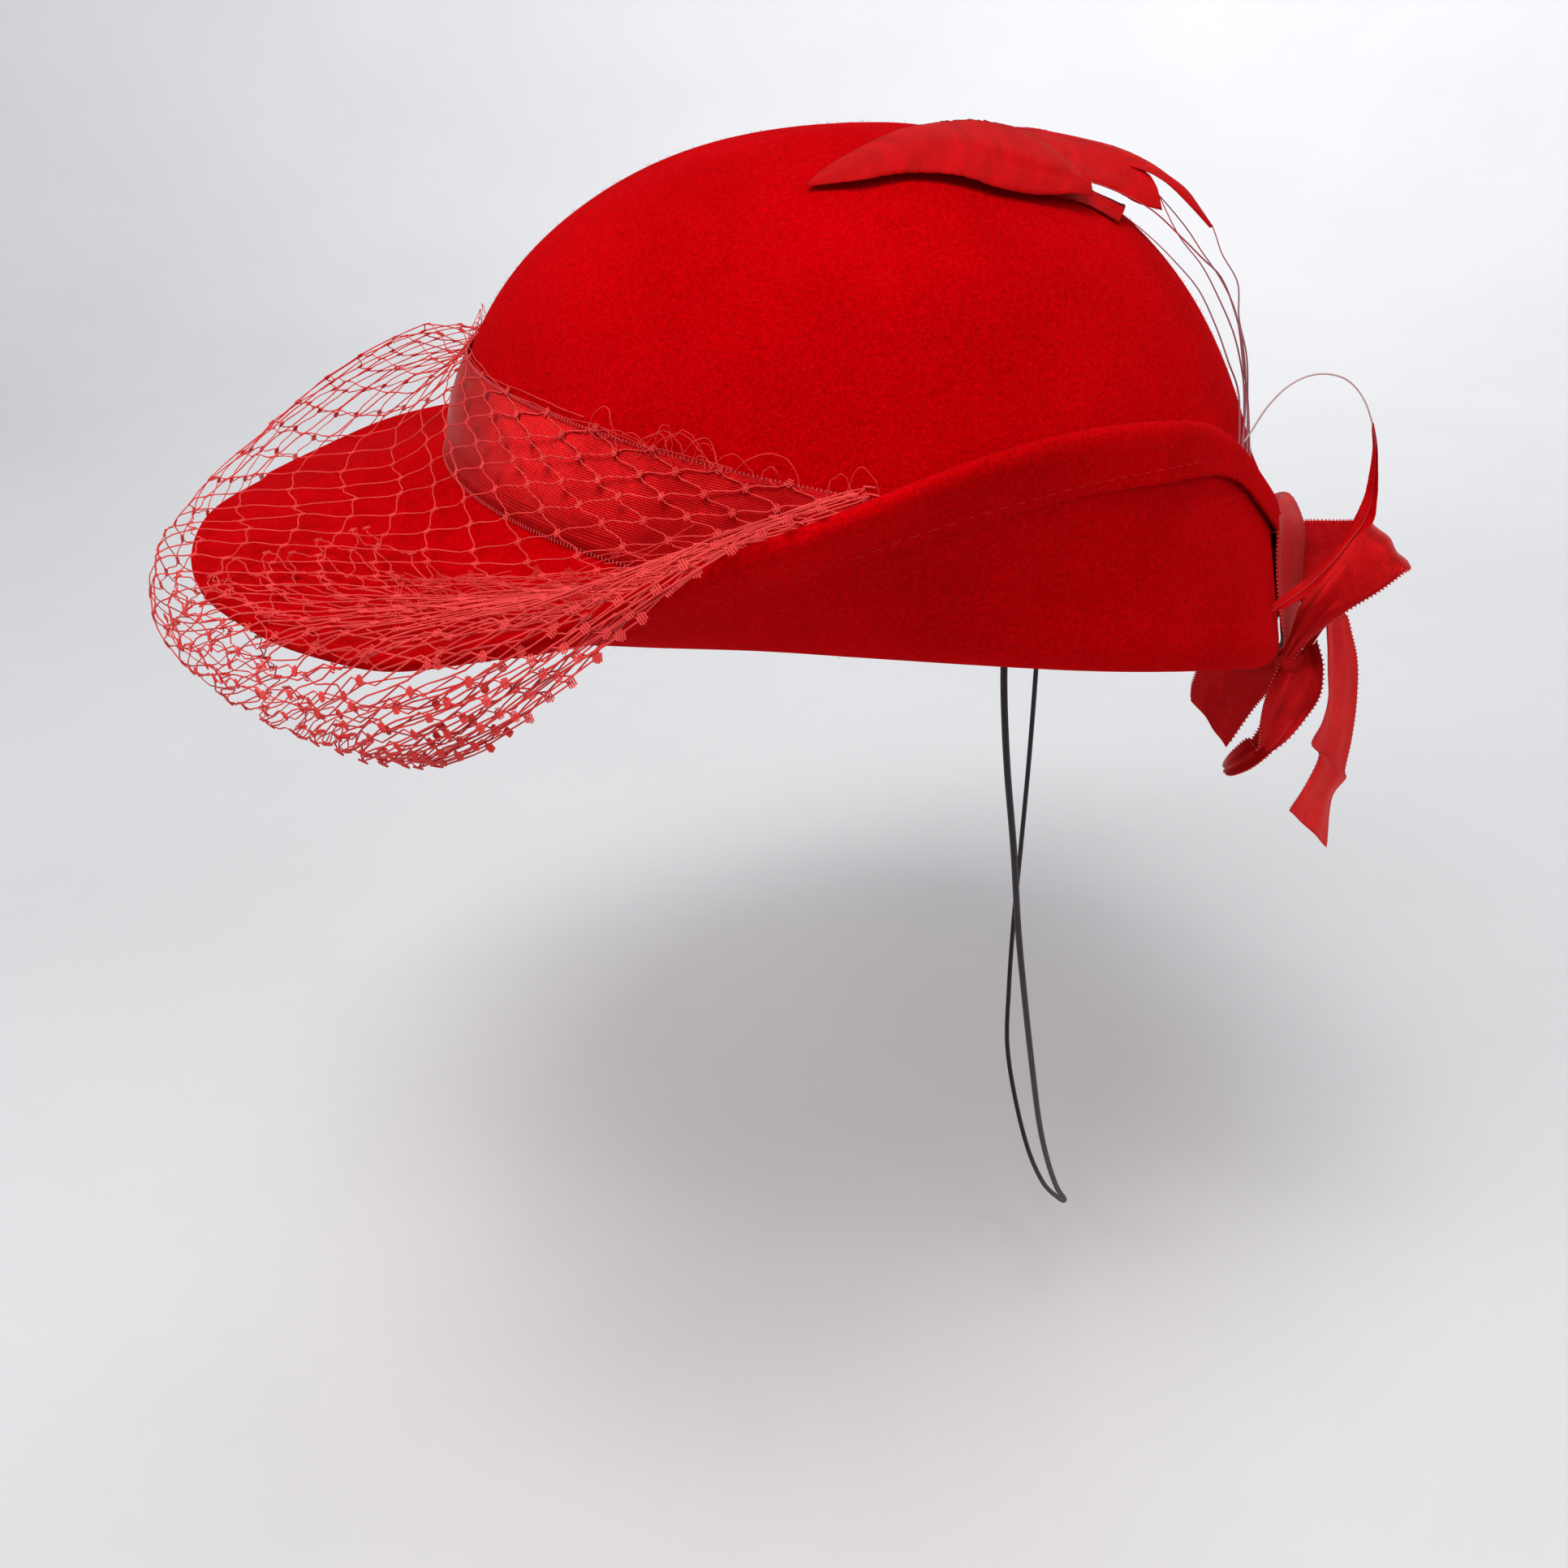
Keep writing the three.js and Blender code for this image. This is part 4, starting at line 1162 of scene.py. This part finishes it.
feathers = [
    {"root": (37, 2.2), "quill": [
        (22, 96.5, 31), (22, 94.5, 43.5), (21, 91.5, 52), (20, 88, 58.5), (20, 83.5, 62.5), (20, 79, 66.5),
        (20, 71, 73), (20, 61, 77.5)],
     "near": [(22.5, 58.5, 75.5), (27, 54.5, 76.5), (33.5, 46, 77), (37.5, 38, 78.5), (39, 30.5, 81),
              (40.5, 21.5, 82), (43, 15.5, 81.5), (45.5, 10.5, 80.5), (46.5, 4, 80), (47, -2, 79.8)],
     "middle": [(20, 57.5, 78.5), (22, 53.5, 79.5), (26, 45, 81.5), (28, 37, 84), (29, 29.5, 86.4),
                (32, 20.5, 86.8), (36, 13.5, 85.5), (40, 8.5, 83.5), (44, 3.5, 81.5), (47, -2, 79.8)],
     "far": [(17, 56.5, 78.5), (15, 52.5, 82.5), (14, 46.5, 86.5), (14, 38, 90), (15.5, 30.5, 91.5),
             (18, 23.5, 91.5), (25, 15.5, 90), (32, 8.5, 87), (40, 1.5, 83.5), (46.5, -2, 79.9)]},
    {"root": (36, 2.0), "quill": [
        (25, 94.5, 33.5), (25, 91.5, 40.5), (22, 88, 48), (19, 83.5, 55.5), (16, 78, 61), (13, 71.5, 66.5)],
     "near": [(14.5, 64.5, 69.5), (18, 59, 72), (24, 52, 74.5), (30, 43.5, 77), (35, 34, 80)],
     "middle": [(10, 65, 71), (13, 58.5, 74.5), (18, 50.5, 78), (25, 42, 80), (33, 33, 81)],
     "far": [(4, 65.5, 72.5), (7, 58, 76), (12, 49.5, 79.5), (20, 40.5, 82), (31, 32.5, 81.5)]},
    {"root": (33, 2.2), "quill": [
        (19, 96, 33.5), (19, 95, 38), (18, 92.5, 45.5), (16, 88.5, 53), (13, 84, 60), (10, 78.5, 66)],
     "near": [(8, 74, 71.5), (9, 69, 73), (10, 63.5, 76), (11, 57.5, 78), (11, 49, 81), (10, 39.5, 84.5),
              (6, 29.5, 88)],
     "middle": [(4, 72.5, 75.5), (3.5, 67.5, 77), (3, 62, 79), (3, 56, 81), (3, 48, 83.5), (4, 38.5, 86.5),
                (5, 29.5, 88.5)],
     "far": [(0, 70.5, 79), (-2, 66.5, 81.5), (-4, 61, 84), (-5, 54.5, 86), (-5, 46.5, 87.6),
             (-2, 37.5, 88.8),
             (3, 29, 89)]},
    {"root": (31, 2.2), "quill": [
        (16, 97.5, 29), (15, 96, 40.5), (13, 93.5, 48.5), (11, 92.5, 56), (7, 88.5, 62), (4, 86.7, 66)],
     "near": [(3, 85.5, 67.5), (3, 83, 70), (3, 79, 73.5), (2, 73.5, 77.5), (1, 68.5, 80), (-1, 59.5, 82.5),
              (-4, 48, 86), (-8, 38, 88.5)],
     "middle": [(2, 86, 67.5), (1.5, 83, 70.7), (1, 79, 74.7), (-1, 73.5, 78.8), (-3, 68.5, 81.2),
                (-5, 60.5, 84), (-8, 49, 87), (-9, 38, 89)],
     "far": [(1, 86, 67.5), (0, 83, 71), (-1, 79, 75.5), (-4, 73.5, 79.5), (-7, 69, 82), (-10, 61.5, 84.5),
             (-12, 49.5, 87.5), (-11, 38, 89)]},
    {"root": (28, 2.2), "quill": [
        (13, 97.5, 30.5), (12, 96, 36.5), (8, 93, 49), (4, 89, 56), (0, 84, 62), (-3, 80, 67)],
     "near": [(-6, 71.5, 73), (-8, 65.5, 75), (-10, 57.5, 77), (-12, 47.5, 80), (-14, 37.5, 84),
              (-16, 29.5, 88)],
     "middle": [(-9, 70.5, 76.5), (-12, 64.5, 79), (-15, 56.5, 82), (-17, 46.5, 84.5), (-17, 37, 87),
                (-17, 29, 88.5)],
     "far": [(-12, 69.5, 79.5), (-16, 63.5, 83), (-19, 55, 86), (-21, 45.5, 87.8), (-20, 36.5, 89),
             (-18, 29, 89)]},
]


def crownHeight(x, y):
    bearing = math.degrees(math.atan2(x / crown["width"], -(y - crown["drift"]) / crown["length"]))
    low, high = 0.0, 1.0
    for _ in range(20):
        middle = (low + high) / 2
        point = crownPoint(bearing, middle)
        if math.hypot(point[0], point[1] - crown["drift"]) > math.hypot(x, y - crown["drift"]):
            low = middle
        else:
            high = middle
    return crownPoint(bearing, low)[2]


def addQuill(name, line, thick, thin, material, stretch=1):
    count = len(line)
    radii = [lerp(thick, thin, smooth(k / (count - 1))) for k in range(count)]
    addPiece(name, tubeWork(line, radii, 8, stretch), material)


def aboveCrown(point, lift):
    inside = (point[0] / crown["width"]) ** 2 + ((point[1] - crown["drift"]) / crown["length"]) ** 2 < 0.235
    if inside:
        point[2] = max(point[2], crownHeight(point[0], point[1]) + lift)
    return point


def bladeWork(near, middle, far, seed, wave):
    # a vane either side of the quill, with a fine uneven edge and a few soft waves along it
    chance = random.Random(seed)
    last = len(middle) - 1
    tangents = np.gradient(middle, axis=0)
    edges = [[chance.gauss(0, 0.012) for _ in range(last + 1)] for _ in range(2)]
    turn = chance.uniform(0, 6)

    def place(u, v):
        k = round(u * last)
        f = 2 * v - 1
        edge = near[k] if f < 0 else far[k]
        reach = abs(f) * (1 + edges[f > 0][k])
        slant = min(max(k + round(6 * abs(f)), 0), last) if k > 3 else k
        edge = (near if f < 0 else far)[slant] if k < last - 8 else edge
        point = lerp(middle[k], edge, reach)
        away = unit(np.cross(far[k] - near[k], tangents[k]))
        width = np.linalg.norm(edge - middle[k])
        lift = 0.12 * width * (1 - f * f) + wave * f * f * math.sin(u * 15 + turn + f)
        point = point - away * lift * (1 if away[2] < 0 else -1)
        return aboveCrown(point, 0.9)

    return gridWork(last, 12, place, (lineLengths(middle)[-1], 20))


def addFeather(index, spec):
    rootX, off = spec["root"]
    bearing = 180 - math.degrees(math.asin(rootX / (crown["width"] / 2)))
    root = [offCrown(bearing, climbAt(bearing, length), off) for length in (10, 15, 21)]
    near, middle, far = (evenLine(smoothLine(spec[part], 12), 110) for part in ("near", "middle", "far"))
    if index != 1:
        near, middle, far = (np.array([aboveCrown(p, 1) for p in line]) for line in (near, middle, far))
    full = np.vstack([smoothLine(root + spec["quill"] + [tuple(middle[0])], 12), middle[2:]])
    addQuill(f"quill{index + 1}", evenLine(full, 110), 0.26, 0.09, quillFinish)
    work = bladeWork(near, middle, far, 40 + index, 0.25)
    piece = addPiece(f"feather{index + 1}", work, bladeFinish, [f"feather_{index + 1}"])
    thicken(piece, 0.14)


curl = {
    "quill": [(33, 96.3, 24), (32, 97.7, 26.3), (31, 100.7, 31.8), (30, 104.5, 36.1), (29, 108.5, 38.3),
              (28, 112.4, 38.8), (27, 116.6, 37.8), (26, 119.8, 35.4), (26, 122.3, 32.1), (26, 124.2, 28)],
    "left": [(26, 124.3, 27.8), (25, 125.6, 21.4), (25, 125.7, 16.1), (25, 125.5, 11.5), (26, 124, 6.2),
             (28, 121.7, 0.3), (32, 117.5, -4.3), (36, 111.8, -8.2), (42, 105.2, -12.2), (44, 103.6, -13.4)],
    "right": [(26, 124.6, 27.7), (26, 126.3, 22.5), (27, 127.3, 16.7), (28, 127.8, 10.8), (30, 127.3, 5.8),
              (32, 123.8, 2.7), (35, 120.6, -1.6), (38, 115.3, -8.4), (43, 108.1, -12.1),
              (44, 103.8, -13.5)],
}


def addCurlFeather():
    left, right = smoothLine(curl["left"], 12), smoothLine(curl["right"], 12)
    middle = (left + right) / 2
    full = np.vstack([smoothLine(curl["quill"], 12), middle[2:]])
    addQuill("curlQuill", evenLine(full, 140), 0.22, 0.1, paleQuillFinish, 1.9)
    last = len(left) - 1
    chance = random.Random(60)
    ragged = [chance.gauss(0, 0.02) for _ in range(last + 1)]

    def place(u, v):
        k = round(u * last)
        across = right[k] - left[k]
        away = np.cross(unit(across), unit(middle[min(k + 1, last)] - middle[max(k - 1, 0)]))
        point = lerp(left[k], right[k], v + (v - 0.5) * ragged[k])
        return point + away * (0.8 * math.sin(math.pi * v) - 0.4)

    piece = addPiece("curlFeather", gridWork(last, 8, place, (lineLengths(middle)[-1], 14)),
                     bladeFinish, ["curl_feather"])
    thicken(piece, 0.16)


for index, spec in enumerate(feathers):
    addFeather(index, spec)
addCurlFeather()
print("feathers made")

# floor and light

studio = {
    "floor": (0.68, 0.68, 0.69, 1),
    "drop": 0.02,
    "radius": 1.8,
    "lights": [
        {"name": "skyPanel", "place": (0.68, -0.12, 1.3), "size": 0.7, "power": 15.5},
        {"name": "windowPanel", "place": (1.15, -0.85, 1.3), "size": 0.5, "power": 7},
        {"name": "backPanel", "place": (0.5, 1.6, 1.0), "size": 0.8, "power": 6},
        {"name": "wallPanel", "place": (-1.5, 0.2, 1.9), "aim": (-2.9, 0, 0.5), "size": 1.2, "power": 40},
    ],
    "sky": (0.93, 0.95, 1, 1),
    "skyPower": 0.4,
}


def addFloor():
    # a round sweep: flat in the middle, rising all round
    level = cadBox[0].z - studio["drop"]
    work = bmesh.new()
    flat, curve = studio["radius"], 1.2
    corners = [work.verts.new((x, 0, level)) for x in (0, 0.6, 1.2, flat)]
    for k in range(1, 9):
        turn = math.pi / 2 * k / 8
        out, up = curve * math.sin(turn), curve * (1 - math.cos(turn))
        corners.append(work.verts.new((flat + out, 0, level + up)))
    edges = [work.edges.new(pair) for pair in zip(corners, corners[1:])]
    bmesh.ops.spin(work, geom=corners + edges, cent=(0, 0, 0), axis=(0, 0, 1), angle=2 * math.pi,
                   steps=72, use_merge=True)
    bmesh.ops.remove_doubles(work, verts=work.verts, dist=0.0005)
    bmesh.ops.recalc_face_normals(work, faces=work.faces)
    mesh = bpy.data.meshes.new("floor")
    work.to_mesh(mesh)
    work.free()
    mesh.polygons.foreach_set("use_smooth", [True] * len(mesh.polygons))
    floor = bpy.data.objects.new("floor", mesh)
    bpy.context.scene.collection.objects.link(floor)
    material, tree, shader, place = newMaterial("paleFloor", {"Roughness": 0.8})
    colour = addGroup(tree, patchy, {"Place": place, "Deep": studio["floor"], "Pale": (0.71, 0.71, 0.72, 1),
                                     "Scale": 0.004, "Fine Scale": 0.05, "Fine Share": 0.3})
    tree.links.new(colour.outputs["Colour"], shader.inputs["Base Color"])
    mesh.materials.append(material)


def addLights():
    for spec in studio["lights"]:
        data = bpy.data.lights.new(spec["name"], "AREA")
        data.size = spec["size"]
        data.energy = spec["power"]
        light = bpy.data.objects.new(spec["name"], data)
        bpy.context.scene.collection.objects.link(light)
        light.location = spec["place"]
        away = Vector(spec["place"]) - Vector(spec.get("aim", (0, 0, 0)))
        light.rotation_euler = away.to_track_quat("Z", "Y").to_euler()
    world = bpy.data.worlds.new("sky")
    bpy.context.scene.world = world
    world.use_nodes = True
    sky = world.node_tree.nodes["Background"]
    sky.inputs[0].default_value = studio["sky"]
    sky.inputs[1].default_value = studio["skyPower"]
    bpy.context.scene.view_settings.view_transform = "Standard"


addFloor()
addLights()
print("studio made")
